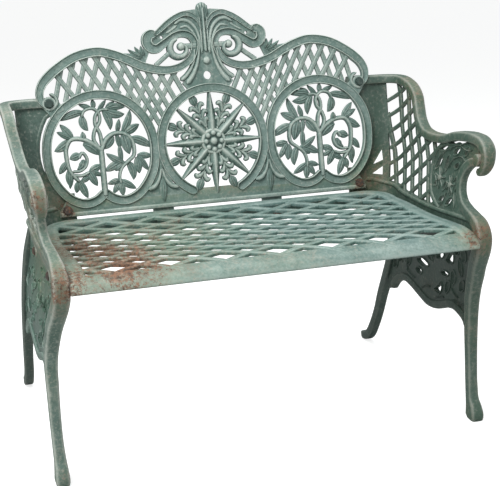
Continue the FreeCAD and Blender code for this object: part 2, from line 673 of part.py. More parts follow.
def end_frame():
    """The right end frame, drawn on the +X side."""
    pieces = [upper_wall(), round_bar(FRONT_LEG), round_bar(REAR_LEG)] + apron_wall() + feet()
    ground = Part.makeBox(200, 900, 100, V(340, -450, -100))
    for y, z in SEAT_BOLTS:
        pieces.append(Part.makeCylinder(13, BOSS_FACE - 402, V(402, y, z), V(1, 0, 0)))
    for x, z in (UPPER_BOLT, LOWER_BOLT):
        boss = Part.makeCylinder(12, BOSS_REAR - RIM_THICK - 0.6, V(x, up(z), -BOSS_REAR))
        pieces.append(lean(boss))
    whole = pieces[0].multiFuse(pieces[1:]).cut(ground)
    seat_room = Part.makeBox(30, 440, 60, V(372, -368, 380))
    whole = whole.cut(seat_room)
    for x, z in (UPPER_BOLT, LOWER_BOLT):
        drill = Part.makeCylinder(BORE / 2, 80, V(x, up(z), -50))
        whole = whole.cut(lean(drill))
    for y, z in SEAT_BOLTS:
        whole = whole.cut(Part.makeCylinder(BORE / 2, 80, V(380, y, z), V(1, 0, 0)))
    return whole


# ---------------------------------------------------------------- fasteners
# Each is built standing on its own axis, then moved to its place.


def hexagon(across, tall):
    radius = across / math.sqrt(3)
    corners = [V(radius * math.cos(math.radians(60 * k)), radius * math.sin(math.radians(60 * k)), 0)
               for k in range(6)]
    block = Part.Face(Part.makePolygon(corners + corners[:1])).extrude(V(0, 0, tall))
    dome = Part.makeCone(radius + 1.2, radius - 1.0, tall)
    return block.common(dome)


def bolt(length, slotted=False):
    """A bolt whose head stands on z = 0 and whose shank runs down."""
    if slotted:
        head = Part.makeSphere(13, V(0, 0, -7.5)).common(Part.makeCylinder(9, 20))
        head = head.cut(Part.makeBox(30, 2, 10, V(-15, -1, 3.5)))
    else:
        head = hexagon(HEAD_ACROSS, HEAD_TALL)
    shank = Part.makeCylinder(BOLT / 2 - 0.05, length + 1, V(0, 0, -length))
    return head.fuse(shank)


def washer():
    """A plain washer lying on z = 0."""
    return Part.makeCylinder(WASHER_DIA / 2, WASHER_THICK).cut(Part.makeCylinder(BORE / 2, 5))


def nut():
    """A hexagon nut with its seat on z = 0, standing upward."""
    return hexagon(NUT_ACROSS, NUT_TALL).cut(Part.makeCylinder(BOLT / 2 + 0.05, 20))


def on_back(shape, x, height, depth, facing=1):
    """Stand a fastener square to the leaning back at a depth from its front face."""
    placed_shape = shape.copy()
    if facing < 0:
        placed_shape.rotate(V(0, 0, 0), V(1, 0, 0), 180)
    placed_shape.translate(V(x, up(height), depth))
    return lean(placed_shape)


def on_side(shape, side, x, y, z, facing):
    """Stand a fastener along X on one side; facing 1 points away from the middle."""
    placed_shape = shape.copy()
    placed_shape.rotate(V(0, 0, 0), V(0, 1, 0), 90 * side * facing)
    placed_shape.translate(V(side * x, y, z))
    return placed_shape


def back_fasteners(name, place):
    """Bolts from the front through the back and the end flange, nuts behind."""
    reach = BOSS_REAR + WASHER_THICK + NUT_TALL + 4
    bolts, washers, nuts = [], [], []
    for side in (-1, 1):
        x, z = side * place[0], place[1]
        bolts.append(on_back(bolt(reach + WASHER_THICK), x, z, WASHER_THICK))
        washers.append(on_back(washer(), x, z, 0))
        washers.append(on_back(washer(), x, z, -BOSS_REAR, -1))
        nuts.append(on_back(nut(), x, z, -BOSS_REAR - WASHER_THICK, -1))
    return {name + "_bolts": bolts, name + "_washers": washers, name + "_nuts": nuts}


def lug_fasteners():
    """Bolts from behind through the back's lugs and the seat's pads."""
    bolts, washers, nuts = [], [], []
    for side in (-1, 1):
        x, z = side * LUG_BOLT[0], LUG_BOLT[1]
        reach = RIM_THICK + LUG_PAD + 2 * WASHER_THICK + NUT_TALL + 3
        bolts.append(on_back(bolt(reach), x, z, -RIM_THICK - WASHER_THICK, -1))
        washers.append(on_back(washer(), x, z, -RIM_THICK, -1))
        washers.append(on_back(washer(), x, z, LUG_PAD))
        nuts.append(on_back(nut(), x, z, LUG_PAD + WASHER_THICK))
    return {"seat_lug_bolts": bolts, "seat_lug_washers": washers, "seat_lug_nuts": nuts}


def side_fasteners(side, word):
    """Slotted screws from outside through the end frame into the seat's side rib."""
    inside = SEAT_HALF - 8
    screws, washers, nuts = [], [], []
    for y, z in SEAT_BOLTS:
        reach = BOSS_FACE - inside + WASHER_THICK + NUT_TALL + 3
        screws.append(on_side(bolt(reach, True), side, BOSS_FACE, y, z, 1))
        washers.append(on_side(washer(), side, inside, y, z, -1))
        nuts.append(on_side(nut(), side, inside - WASHER_THICK, y, z, -1))
    names = [word + "_seat_screws", word + "_seat_washers", word + "_seat_nuts"]
    return dict(zip(names, (screws, washers, nuts)))


def save(name, shape):
    """Write one piece, with the bench's middle brought over the origin."""
    centred = shape.copy()
    centred.translate(V(0, CENTRE_SHIFT, 0))
    centred.exportStep(os.path.join(OUT_DIR, name + ".step"))


def main():
    os.makedirs(OUT_DIR, exist_ok=True)
    save("back_panel", back_panel())
    save("seat_grille", seat_grille())
    right = end_frame()
    save("right_end", right)
    save("left_end", right.mirror(V(0, 0, 0), V(1, 0, 0)))
    groups = {}
    groups.update(back_fasteners("back_upper", UPPER_BOLT))
    groups.update(back_fasteners("back_lower", LOWER_BOLT))
    groups.update(lug_fasteners())
    groups.update(side_fasteners(-1, "left"))
    groups.update(side_fasteners(1, "right"))
    for name, solids in groups.items():
        save(name, Part.makeCompound(solids))


if __name__ == "__main__":
    main()
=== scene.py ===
"""Cast garden bench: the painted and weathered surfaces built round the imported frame.

Drawings are in millimetres.  A drawing is laid out flat as (across, up) with a depth "out" towards the
side that shows, and a sheet carries it to its place: the leaning back, the seat's dish, the end walls
with their rounded rear corners, or the aprons between the legs.
"""

from __future__ import annotations

import logging
import math
from dataclasses import dataclass, field
from enum import Enum
from typing import Protocol, Sequence

import bpy
import numpy as np
from mathutils import Matrix, Vector
from mathutils.geometry import delaunay_2d_cdt


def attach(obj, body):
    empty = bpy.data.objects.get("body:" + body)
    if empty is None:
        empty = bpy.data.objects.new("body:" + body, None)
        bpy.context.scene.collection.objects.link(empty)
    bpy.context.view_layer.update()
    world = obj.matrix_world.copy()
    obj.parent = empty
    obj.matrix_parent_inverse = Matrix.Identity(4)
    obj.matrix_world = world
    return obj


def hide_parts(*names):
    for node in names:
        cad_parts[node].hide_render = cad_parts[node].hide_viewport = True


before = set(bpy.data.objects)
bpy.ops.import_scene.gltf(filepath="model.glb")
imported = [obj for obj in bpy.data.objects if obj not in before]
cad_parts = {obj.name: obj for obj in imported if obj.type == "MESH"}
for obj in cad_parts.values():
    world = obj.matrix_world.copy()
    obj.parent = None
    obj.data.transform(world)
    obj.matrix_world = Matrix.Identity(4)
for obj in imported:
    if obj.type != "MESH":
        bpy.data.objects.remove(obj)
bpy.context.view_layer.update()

log = logging.getLogger("bench")
Array = np.ndarray
Points = Sequence[Sequence[float]]

MM = 0.001
CENTRE_SHIFT = -2.5
RAKE = math.radians(8.63)
FOOT_Z = 441.0
FOOT_Y = 109.5
MEDAL_X = 250.5
MEDAL_Z = 578.5
BODY = "root"


# ------------------------------------------------------------------ sheets


class Sheet(Protocol):
    """A surface that carries a flat drawing to its place on the bench."""

    def place(self, across: Array, up: Array, out: Array) -> Array:
        """Places drawing coordinates in space.

        Args:
            across: First drawing coordinate, in millimetres.
            up: Second drawing coordinate, in millimetres.
            out: Depth towards the side that shows, in millimetres.

        Returns:
            Points in millimetres, with one more axis than the inputs.
        """


@dataclass(frozen=True)
class BackSheet:
    """The leaning front plane of the back; up is the true height on that plane."""

    def place(self, across: Array, up: Array, out: Array) -> Array:
        """Leans the drawing back by the rake and lifts depths square to the plane."""
        y = FOOT_Y + (up - FOOT_Z) * math.tan(RAKE) - out * math.cos(RAKE)
        z = up + out * math.sin(RAKE)
        return np.stack([across + 0 * y, y, z + 0 * across], -1)


@dataclass(frozen=True)
class SeatSheet:
    """The seat's top surface; up is the distance towards the back."""

    y_line: tuple[float, ...] = (-361, -353, -341, -325, -300, -260, -180, -80, -10, 47, 75, 100)
    z_line: tuple[float, ...] = (397, 405, 414, 421.5, 425.5, 425.5, 423, 422, 425, 429, 434, 438)

    def height(self, y: Array) -> Array:
        """Height of the top surface at a depth, by smooth interpolation of the side profile."""
        return hermite(np.asarray(self.y_line, float), np.asarray(self.z_line, float), y)

    def place(self, across: Array, up: Array, out: Array) -> Array:
        """Drops the plan drawing onto the dished top, depths measured straight up."""
        z = self.height(up) + out
        return np.stack([across + 0 * z, up + 0 * z, z], -1)


@dataclass(frozen=True)
class EndSheet:
    """An end wall: leaning outward with height, then turning in behind the back.

    across runs backwards along the wall, round the rear corner and in along the flange.
    """

    side: int
    corner: float = 50.0
    wall_z: tuple[float, ...] = (380, 440, 480, 520, 580, 650, 710)
    wall_x: tuple[float, ...] = (416, 419, 427, 435, 438, 448, 452)

    def flange(self, up: Array) -> Array:
        """Depth of the flange's middle behind the back at a height."""
        return FOOT_Y + (up - FOOT_Z) * math.tan(RAKE) + 16.6

    def wall(self, up: Array) -> Array:
        """Distance of the wall's middle from the bench's middle plane at a height."""
        return np.interp(up, self.wall_z, self.wall_x)

    def place(self, across: Array, up: Array, out: Array) -> Array:
        """Straight wall, quarter circle of the corner radius, then straight flange."""
        start = self.flange(up) - self.corner
        turn = np.clip((across - start) / self.corner, 0, math.pi / 2)
        beyond = np.maximum(across - start - self.corner * math.pi / 2, 0)
        radius = self.corner + out
        x = self.wall(up) - self.corner + radius * np.cos(turn) - beyond
        y = np.minimum(across, start) + radius * np.sin(turn)
        return np.stack([self.side * x, y, up + 0 * x], -1)


@dataclass(frozen=True)
class ApronSheet:
    """The pierced wall between an end's legs, swelling out below the seat."""

    side: int
    wall_z: tuple[float, ...] = (170, 250, 290, 330, 370, 412)
    wall_x: tuple[float, ...] = (435, 435, 433, 427, 419, 416)

    def place(self, across: Array, up: Array, out: Array) -> Array:
        """Moves the side drawing out to the wall's distance at each height."""
        x = np.interp(up, self.wall_z, self.wall_x) + out
        return np.stack([self.side * x, across + 0 * x, up + 0 * x], -1)


# ------------------------------------------------------------------ curves


def hermite(knots: Array, values: Array, at: Array) -> Array:
    """Cubic through values at rising knots, its slope at a knot the mean of its two neighbours' slopes.

    Args:
        knots: Rising positions, shape (n,).
        values: Values there, shape (n,) or (n, k).
        at: Positions wanted.

    Returns:
        Interpolated values.
    """
    slope = np.gradient(values, knots, axis=0)
    at = np.clip(at, knots[0], knots[-1])
    cell = np.clip(np.searchsorted(knots, at, side="right") - 1, 0, len(knots) - 2)
    width = knots[cell + 1] - knots[cell]
    t = (at - knots[cell]) / width
    if values.ndim > 1:
        t, width = t[..., None], width[..., None]
    h00 = 2 * t**3 - 3 * t**2 + 1
    h10 = t**3 - 2 * t**2 + t
    h01 = -2 * t**3 + 3 * t**2
    h11 = t**3 - t**2
    low, high = values[cell], values[cell + 1]
    return h00 * low + h10 * width * slope[cell] + h01 * high + h11 * width * slope[cell + 1]


def smooth_path(
    points: Points, step: float, looped: bool = False, straight: bool = False
) -> tuple[Array, Array]:
    """Evenly spaced points on a smooth curve through the given ones.

    Args:
        points: Points the curve passes through, shape (n, k).
        step: Spacing along the curve.
        looped: Joins the last point to the first.
        straight: Runs straight between the points instead.

    Returns:
        The points, and for each its place among the given ones as a fraction of 0 to n - 1.
    """
    given = np.asarray(points, float)
    if looped:
        given = np.concatenate([given[-3:], given, given[:4]])
    chord = np.r_[0, np.cumsum(np.linalg.norm(np.diff(given, axis=0), axis=1))]
    spans = [np.linspace(a, b, 24, endpoint=False) for a, b in zip(chord, chord[1:])]
    dense = np.concatenate(spans + [chord[-1:]])
    if straight or len(given) < 3:
        line = np.stack([np.interp(dense, chord, given[:, k]) for k in range(given.shape[1])], -1)
    else:
        line = hermite(chord, given, dense)
    place = np.interp(dense, chord, np.arange(len(given)))
    if looped:
        keep = (place >= 3) & (place <= len(given) - 4)
        line, place = line[keep], place[keep] - 3
    run = np.r_[0, np.cumsum(np.linalg.norm(np.diff(line, axis=0), axis=1))]
    count = max(int(round(run[-1] / step)), 3)
    wanted = np.linspace(0, run[-1], count + 1)
    even = np.stack([np.interp(wanted, run, line[:, k]) for k in range(line.shape[1])], -1)
    where = np.interp(wanted, run, place)
    return (even[:-1], where[:-1]) if looped else (even, where)


def arc(
    radius: float, start: float, end: float, step: float = 12.0, middle: Sequence[float] = (0, 0)
) -> Array:
    """Points on a circle from one angle to another, in degrees."""
    count = max(int(abs(end - start) / step), 2)
    angle = np.radians(np.linspace(start, end, count + 1))
    return np.stack([middle[0] + radius * np.cos(angle), middle[1] + radius * np.sin(angle)], -1)


# ------------------------------------------------------------------ sections


@dataclass(frozen=True)
class Section:
    """Closed cross-section of a cast strip.

    Attributes:
        across: Half-widths from -1 to 1, going round.
        rise: Heights from 0 at the back to 1 at the crown.
        raised: How much each point stands out, 0 in a groove and 1 on a crest.
    """

    across: tuple[float, ...]
    rise: tuple[float, ...]
    raised: tuple[float, ...]


def section(*corners: tuple[float, float, float]) -> Section:
    """A section from (across, rise, raised) corners."""
    return Section(*(tuple(float(c[k]) for c in corners) for k in range(3)))


def oval(count: int, power: float) -> Section:
    """A superellipse most worn at its corners: across cos to a power, rise half of one plus sin to it."""
    angle = np.linspace(0, 2 * math.pi, count, endpoint=False) + math.pi / count
    c, s = np.cos(angle), np.sin(angle)
    across = np.sign(c) * np.abs(c) ** power
    rise = 0.5 + 0.5 * np.sign(s) * np.abs(s) ** power
    raised = 0.42 + 0.45 * np.minimum(np.minimum(np.abs(across), np.abs(2 * rise - 1)) / 0.8, 1) ** 3
    return Section(tuple(across), tuple(rise), tuple(raised))


# Proud outer bead, dark cove, broad hollow band and a small inner bead.
MOULDED = section(
    (-1, 0, 0.4), (-1, 0.66, 0.5), (-0.97, 0.88, 0.9), (-0.88, 1.0, 1.0), (-0.78, 0.98, 0.95),
    (-0.7, 0.76, 0.25), (-0.6, 0.66, 0.1), (-0.42, 0.62, 0.45), (-0.1, 0.6, 0.5), (0.25, 0.62, 0.5), (0.5,
                                                                                                      0.68,
                                                                                                      0.55),
    (0.66, 0.7, 0.35), (0.76, 0.76, 0.4), (0.86, 0.86, 0.95), (0.96, 0.8, 0.9), (1, 0.55, 0.4), (1, 0, 0.4),
)
BAR = section(
    (-1, 0, 0.3), (-1, 0.62, 0.35), (-0.82, 0.9, 0.7), (-0.45, 1.0, 0.75), (0, 1.0, 0.6), (0.45, 1.0, 0.75),
    (0.82, 0.9, 0.7), (1, 0.62, 0.35), (1, 0, 0.3),
)
HALF_ROUND = section(
    (-1, 0, 0.1), (-1, 0.4, 0.15), (-0.86, 0.7, 0.35), (-0.55, 0.92, 0.6), (-0.2, 1.0, 0.8), (0.2, 1.0, 0.8),
    (0.55, 0.92, 0.6), (0.86, 0.7, 0.35), (1, 0.4, 0.15), (1, 0, 0.1),
)
LEAF = section(
    (-0.9, 0.0, 0.2), (-1, 0.4, 0.7), (-0.8, 0.62, 0.45), (-0.5, 0.74, 0.35), (-0.22, 0.7, 0.2),
    (-0.07, 0.88, 0.6), (0.07, 0.88, 0.6), (0.22, 0.7, 0.2), (0.5, 0.8, 0.4), (0.8, 0.7, 0.5), (1, 0.42,
                                                                                                0.75),
    (0.9, 0.0, 0.2),
)
RIDGE = section(
    (-1, 0, 0.2), (-1, 0.35, 0.4), (-0.5, 0.66, 0.5), (-0.1, 0.97, 0.95), (0.1, 0.97, 0.95), (0.5, 0.66, 0.5),
    (1, 0.35, 0.4), (1, 0, 0.2),
)
SQUARE_ROUND = oval(20, 0.55)
HALF_TUBE = oval(14, 0.8)
CUSHION = oval(24, 0.42)
# Alike on both faces, with a ridge down the middle.
LENS = section(
    (-1, 0.5, 0.6), (-0.62, 0.78, 0.4), (-0.25, 0.8, 0.15), (0, 1.0, 1.0),
    (0.25, 0.8, 0.15), (0.62, 0.78, 0.4), (1, 0.5, 0.6), (0.62, 0.22, 0.4),
    (0.25, 0.2, 0.15), (0, 0, 1.0), (-0.25, 0.2, 0.15), (-0.62, 0.22, 0.4),
)


# ------------------------------------------------------------------ shells


def rust_at(points: Array) -> Array:
    """How rusty each place on the bench is, from 0 to 1: the sum of soft round patches.

    Args:
        points: Places in millimetres, shape (n, 3).

    Returns:
        Rust amounts, shape (n,).
    """
    total = np.zeros(len(points))
    for x, y, z, reach, amount in RUST_PATCHES:
        apart = np.linalg.norm((points - (x, y, z)) / reach, axis=1)
        total += amount * np.exp(-apart**2)
    return np.clip(total, 0, 1)


# Place, reach and strength of each rusty area.
RUST_PATCHES = (
    (-330, -250, 425, 110, 0.32), (-230, -300, 425, 120, 0.28), (-370, -40, 425, 130, 0.34),
    (-260, -120, 425, 150, 0.3), (0, -330, 415, 130, 0.24), (200, -250, 425, 110, 0.13),
    (-60, -60, 425, 130, 0.18), (-150, 60, 435, 120, 0.16), (250, 20, 430, 110, 0.1),
    (350, -330, 415, 60, 0.2), (-300, -340, 410, 70, 0.3), (417, -345, 412, 40, 0.6),
    (-417, -345, 412, 44, 0.6), (445, -300, 545, 50, 0.5), (-440, -322, 560, 32, 0.75),
    (448, 40, 690, 70, 0.45), (448, -90, 600, 60, 0.3), (-448, 40, 690, 70, 0.3),
    (-338, 110, 455, 24, 0.75), (338, 110, 455, 24, 0.5), (-385, 130, 500, 50, 0.3),
    (385, 130, 470, 60, 0.45), (434, -262, 10, 30, 0.3), (-434, -262, 10, 30, 0.3),
    (-436, -250, 180, 60, 0.16), (436, -250, 210, 70, 0.2), (-432, -100, 380, 120, 0.06),
    (0, 100, 452, 60, 0.1),
)


@dataclass
class Shells:
    """Closed skins gathered into one piece of the bench."""

    name: str
    points: list[Array] = field(default_factory=list)
    raised: list[Array] = field(default_factory=list)
    quads: list[Array] = field(default_factory=list)
    tris: list[Array] = field(default_factory=list)
    count: int = 0

    def add(self, points: Array, raised: Array, quads: Array, tris: Array) -> None:
        """Takes one closed skin and turns it outward if its signed volume is negative.

        Args:
            points: Places in millimetres, shape (n, 3).
            raised: How much each point stands out, shape (n,).
            quads: Four-sided faces, shape (q, 4).
            tris: Three-sided faces, shape (t, 3).
        """
        faces = np.concatenate([quads[:, [0, 1, 2]], quads[:, [0, 2, 3]], tris])
        a, b, c = (points[faces[:, k]] - points.mean(0) for k in range(3))
        if np.einsum("ij,ij->", a, np.cross(b, c)) < 0:
            quads, tris = quads[:, ::-1], tris[:, ::-1]
        self.points.append(points)
        self.raised.append(raised)
        self.quads.append(quads + self.count)
        self.tris.append(tris + self.count)
        self.count += len(points)

    def tube(self, rings: Array, raised: Array, looped: bool = False) -> None:
        """Skins a row of closed rings, with a low cone over each open end.

        Args:
            rings: Points, shape (rings, round, 3).
            raised: How much each stands out, shape (rings, round).
            looped: Joins the last ring to the first instead of closing the ends.
        """
        along, around = rings.shape[:2]
        i, j = np.meshgrid(np.arange(along if looped else along - 1), np.arange(around), indexing="ij")
        i, j = i.ravel(), j.ravel()
        ahead, beside = (i + 1) % along, (j + 1) % around
        here, there = i * around, ahead * around
        quads = np.stack([here + j, there + j, there + beside, here + beside], -1)
        points, height = rings.reshape(-1, 3), raised.ravel()
        tris = np.zeros((0, 3), int)
        if not looped:
            points = np.concatenate([points, rings[:1].mean(1), rings[-1:].mean(1)])
            height = np.r_[height, raised[0].mean(), raised[-1].mean()]
            k = np.arange(around)
            first, last = along * around, along * around + 1
            start = np.stack([np.full(around, first), k, (k + 1) % around], -1)
            base = (along - 1) * around
            end = np.stack([np.full(around, last), base + (k + 1) % around, base + k], -1)
            tris = np.concatenate([start, end])
        self.add(points, height, quads, tris)

    def build(self, material: bpy.types.Material, node: str) -> bpy.types.Object:
        """Makes the mesh, dresses it and lets it stand for its casting.

        Args:
            material: The finish.
            node: The CAD casting this piece stands for.

        Returns:
            The new object.
        """
        points = np.concatenate(self.points)
        quads, tris = np.concatenate(self.quads), np.concatenate(self.tris)
        mesh = bpy.data.meshes.new(self.name)
        placed = (points + (0, CENTRE_SHIFT, 0)) * MM
        mesh.from_pydata(placed.tolist(), [], quads.tolist() + tris.tolist())
        for label, values in (("raised", np.concatenate(self.raised)), ("rust", rust_at(points))):
            attribute = mesh.attributes.new(label, "FLOAT", "POINT")
            attribute.data.foreach_set("value", values.astype(np.float32))
        mesh.polygons.foreach_set("use_smooth", np.ones(len(mesh.polygons), bool))
        mesh.set_sharp_from_angle(angle=math.radians(50))
        mesh.update()
        piece = bpy.data.objects.new(self.name, mesh)
        bpy.context.scene.collection.objects.link(piece)
        mesh.materials.append(material)
        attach(piece, BODY)
        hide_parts(node)
        log.info("%s: %d faces", self.name, len(mesh.polygons))
        return piece


@dataclass
class Carver:
    """Draws cast ornament on a sheet and gathers it into shells."""

    sheet: Sheet
    shells: Shells
    shift: tuple[float, float] = (0.0, 0.0)
    turn: float = 0.0
    flip: int = 1

    def moved(self, shift: tuple[float, float], turn: float = 0.0, flip: int = 1) -> "Carver":
        """The same carver drawing round another point, turned by degrees and perhaps mirrored."""
        return Carver(self.sheet, self.shells, shift, math.radians(turn), flip)

    def place(self, across: Array, up: Array, out: Array) -> Array:
        """Mirrors, turns and shifts drawing coordinates, then lays them on the sheet."""
        a = across * self.flip
        c, s = math.cos(self.turn), math.sin(self.turn)
        return self.sheet.place(self.shift[0] + a * c - up * s, self.shift[1] + a * s + up * c, out)

    def strip(
        self,
        points: Points,
        wide: float | Sequence[float],
        cut: Section,
        back: float | Sequence[float],
        front: float | Sequence[float],
        step: float = 3.0,
        looped: bool = False,
        blunt: tuple[bool, bool] = (False, False),
        straight: bool = False,
    ) -> None:
        """Carries a section along a smooth path.

        Each ring is the path's point, plus the section's across value times half the width along the
        path's normal, at a depth between back and front by the section's rise.

        Args:
            points: Path through the drawing.
            wide: Width, or one width for each given point.
            cut: The section.
            back: Depth of the back face, or one depth for each given point.
            front: Depth of the crown, or one depth for each given point.
            step: Spacing of the rings.
            looped: Closes the path on itself.
            blunt: Rounds off the start and the end.
            straight: Runs straight between the given points.
        """
        path, where = smooth_path(points, step, looped, straight)
        count = len(points) + (1 if looped else 0)

        def along(values: float | Sequence[float]) -> Array:
            """Spreads one value, or one for each given point, over the path."""
            if np.isscalar(values):
                return np.full(len(path), float(values))
            values = list(values) + ([values[0]] if looped else [])
            return np.interp(where, np.linspace(0, count - 1, len(values)), values)

        half, crown = along(wide) / 2, along(front)
        run = np.arange(len(path)) * np.linalg.norm(path[1] - path[0])
        for rounded, distance in ((blunt[0], run), (blunt[1], run[-1] - run)):
            if rounded:
                share = np.clip(1 - distance / np.maximum(half, 0.1), 0, 1)
                half = half * np.sqrt(np.clip(1 - share**2, 0.02, 1))
        if looped:
            tangent = np.roll(path, -1, 0) - np.roll(path, 1, 0)
        else:
            tangent = np.gradient(path, axis=0)
        tangent /= np.linalg.norm(tangent, axis=1)[:, None]
        normal = np.stack([-tangent[:, 1], tangent[:, 0]], -1)
        self.rings(path, normal * half[:, None], cut, along(back), crown, looped)

    def rings(
        self, path: Array, reach: Array, cut: Section, back: Array, crown: Array, looped: bool
    ) -> None:
        """Lays the section's rings on the sheet.

        Args:
            path: Ring middles, shape (n, 2).
            reach: Half-width vectors, shape (n, 2).
            cut: The section.
            back: Back depths, shape (n,).
            crown: Crown depths, shape (n,).
            looped: Whether the last ring joins the first.
        """
        flat = path[:, None, :] + reach[:, None, :] * np.asarray(cut.across)[None, :, None]
        out = back[:, None] + (crown - back)[:, None] * np.asarray(cut.rise)[None, :]
        raised = np.broadcast_to(np.asarray(cut.raised), out.shape)
        self.shells.tube(self.place(flat[..., 0], flat[..., 1], out), raised, looped)

    def leaf(
        self,
        base: Sequence[float],
        tip: Sequence[float],
        wide: float,
        bow: float = 0.0,
        back: float = -9.0,
        front: float = 0.0,
        cut: Section = LEAF,
        lobes: int = 0,
        blunt: float = 0.0,
    ) -> None:
        """A pointed leaf with a midrib, sagging towards its tip.

        The half-width is the width times (4 q (1 - q)) to the power 0.75, q being the share of the
        length to the power 0.85; lobes deepen it by a rectified cosine, and blunt keeps the tip wide.

        Args:
            base: Where it leaves the stem.
            tip: Its point.
            wide: Greatest width.
            bow: Sideways bend of its middle.
            back: Depth of its back.
            front: Depth of its crown.
            cut: The section.
            lobes: Number of rounded lobes on each edge.
            blunt: How round the tip is, 0 to 1.
        """
        start, end = np.asarray(base, float), np.asarray(tip, float)
        run = end - start
        side = np.array([-run[1], run[0]]) / np.linalg.norm(run)
        count = 13 if not lobes else 8 * lobes + 5
        share = np.linspace(0, 1, count)
        path = start + run * share[:, None] + side * (4 * bow * share * (1 - share))[:, None]
        tangent = np.gradient(path, axis=0)
        tangent /= np.linalg.norm(tangent, axis=1)[:, None]
        q = share**0.85
        half = wide / 2 * (4 * q * (1 - q)) ** 0.75
        half = np.maximum(half, wide * 0.14 * (1 - share))
        if blunt:
            half = np.maximum(half, wide / 2 * blunt * np.sqrt(np.clip(1 - share**4, 0, 1)) * share**0.5)
        if lobes:
            half *= 0.62 + 0.38 * np.abs(np.sin(math.pi * lobes * share))
        half = np.maximum(half, 0.25)
        crown = back + (front - back) * (0.62 + 0.38 * np.sin(math.pi * share**0.8))
        normal = np.stack([-tangent[:, 1], tangent[:, 0]], -1)
        self.rings(path, normal * half[:, None], cut, np.full(count, back), crown, False)

    def boss(self, middle: Sequence[float], profile: Points, around: int = 24) -> None:
        """A turned knob standing out of the sheet.

        Ring k has the profile's radius and depth there; the ends of the profile lie on the axis.

        Args:
            middle: Centre in the drawing.
            profile: (radius, depth, raised) from the back to the front.
            around: Points round it.
        """
        cut = np.asarray(profile, float)
        angle = np.linspace(0, 2 * math.pi, around, endpoint=False)
        a = middle[0] + cut[:, :1] * np.cos(angle)
        b = middle[1] + cut[:, :1] * np.sin(angle)
        out = np.broadcast_to(cut[:, 1:2], a.shape)
        raised = np.broadcast_to(cut[:, 2:3], a.shape)
        self.shells.tube(self.place(a, b, out), raised)

    def dome(
        self, middle: Sequence[float], radius: float, back: float, front: float, around: int = 20
    ) -> None:
        """A half-round button: straight sides, then a quarter ellipse up to its crown."""
        turn = np.linspace(0, math.pi / 2, 6)[:-1]
        rise = (front - back) * 0.55
        profile = [(radius, back, 0.2)]
        for t in turn:
            lift = math.sin(t)
            profile.append((radius * math.cos(t), front - rise + rise * lift, 0.3 + 0.7 * lift))
        profile.append((radius * 0.05, front, 1.0))
        self.boss(middle, profile, around)

    def plate(
        self, outline: Points, holes: Sequence[Points], back: float, front: float, grid: float = 14.0
    ) -> None:
        """A flat web with holes, as thick as front less back.

        The drawing is split into triangles that keep every edge and fill the inside with a regular
        grid; the triangles are laid at the front and the back, and walls join their free edges.

        Args:
            outline: Outer boundary.
            holes: Inner boundaries.
            back: Depth of the back face.
            front: Depth of the front face.
            grid: Spacing of the inner points.
        """
        loops = [np.asarray(outline, float)] + [np.asarray(h, float) for h in holes]
        low, high = loops[0].min(0), loops[0].max(0)
        columns, rows = (np.arange(low[k] + grid / 2, high[k], grid) for k in range(2))
        ax, bx = np.meshgrid(columns, rows)
        fill = np.stack([ax.ravel(), bx.ravel()], -1)
        keep = inside(fill, loops[0])
        for hole in loops[1:]:
            keep &= ~inside(fill, hole)
        fill = fill[keep]
        edges, start = [], 0
        for loop in loops:
            edges += [(start + k, start + (k + 1) % len(loop)) for k in range(len(loop))]
            start += len(loop)
        flat = np.concatenate(loops + [fill])
        verts, _, faces, *_ = delaunay_2d_cdt([Vector(p) for p in flat.tolist()], edges, [], 0, 1e-4)
        flat = np.array([tuple(v) for v in verts])
        tris = np.array([f for f in faces if len(f) == 3])
        middle = flat[tris].mean(1)
        keep = inside(middle, loops[0])
        for hole in loops[1:]:
            keep &= ~inside(middle, hole)
        tris = tris[keep]
        used, tris = np.unique(tris, return_inverse=True)
        tris = tris.reshape(-1, 3)
        flat = flat[used]
        count = len(flat)
        sides = np.concatenate([tris[:, [0, 1]], tris[:, [1, 2]], tris[:, [2, 0]]])
        codes = sides[:, 0] * count + sides[:, 1]
        free = sides[~np.isin(codes, sides[:, 1] * count + sides[:, 0])]
        walls = np.stack([free[:, 1], free[:, 0], free[:, 0] + count, free[:, 1] + count], -1)
        top = self.place(flat[:, 0], flat[:, 1], np.full(count, front))
        under = self.place(flat[:, 0], flat[:, 1], np.full(count, back))
        points = np.concatenate([top, under])
        rim = np.zeros(count)
        rim[np.unique(free)] = 0.75
        raised = np.tile(0.35 + rim * 0.4, 2)
        faces3 = np.concatenate([tris, tris[:, ::-1] + count])
        self.shells.add(points, raised, walls, faces3)


def inside(points: Array, loop: Array) -> Array:
    """Whether each point lies inside a closed outline, by counting crossings of a level ray."""
    a, b = loop, np.roll(loop, -1, 0)
    y, x = points[:, None, 1], points[:, None, 0]
    span = (a[None, :, 1] > y) != (b[None, :, 1] > y)
    rise = np.where(b[:, 1] == a[:, 1], 1e-9, b[:, 1] - a[:, 1])
    cross = a[None, :, 0] + (y - a[None, :, 1]) * ((b[:, 0] - a[:, 0]) / rise)[None, :]
    return (np.sum(span & (x < cross), axis=1) % 2) == 1


# ------------------------------------------------------------------ finishes


class Tone(Enum):
    """Which casting a coat of paint belongs to; the right end, the rear legs and the aprons take copies of
    the paint darkened as painted shade.
    """

    BACK = "back"
    SEAT = "seat"
    END = "end"
    SHADED = "shaded end"
    REAR = "rear leg"
    OUTER = "sunny apron"
    APRON = "apron"


@dataclass(frozen=True)
class Paint:
    """An old coat of green paint on cast iron.

    Attributes:
        name: Name of the material.
        body: Colour of the sound paint; the copies for the right end, rear legs and aprons have it darkened
            as painted shade.
        pale: Chalked colour of the worn crests.
        deep: Dirt and shade held in the grooves.
        rust: Strength of the rusty areas.
        wear: Strength of the pale crests.
    """

    name: str
    body: tuple[float, float, float]
    pale: tuple[float, float, float]
    deep: tuple[float, float, float]
    rust: float = 1.0
    wear: float = 1.0


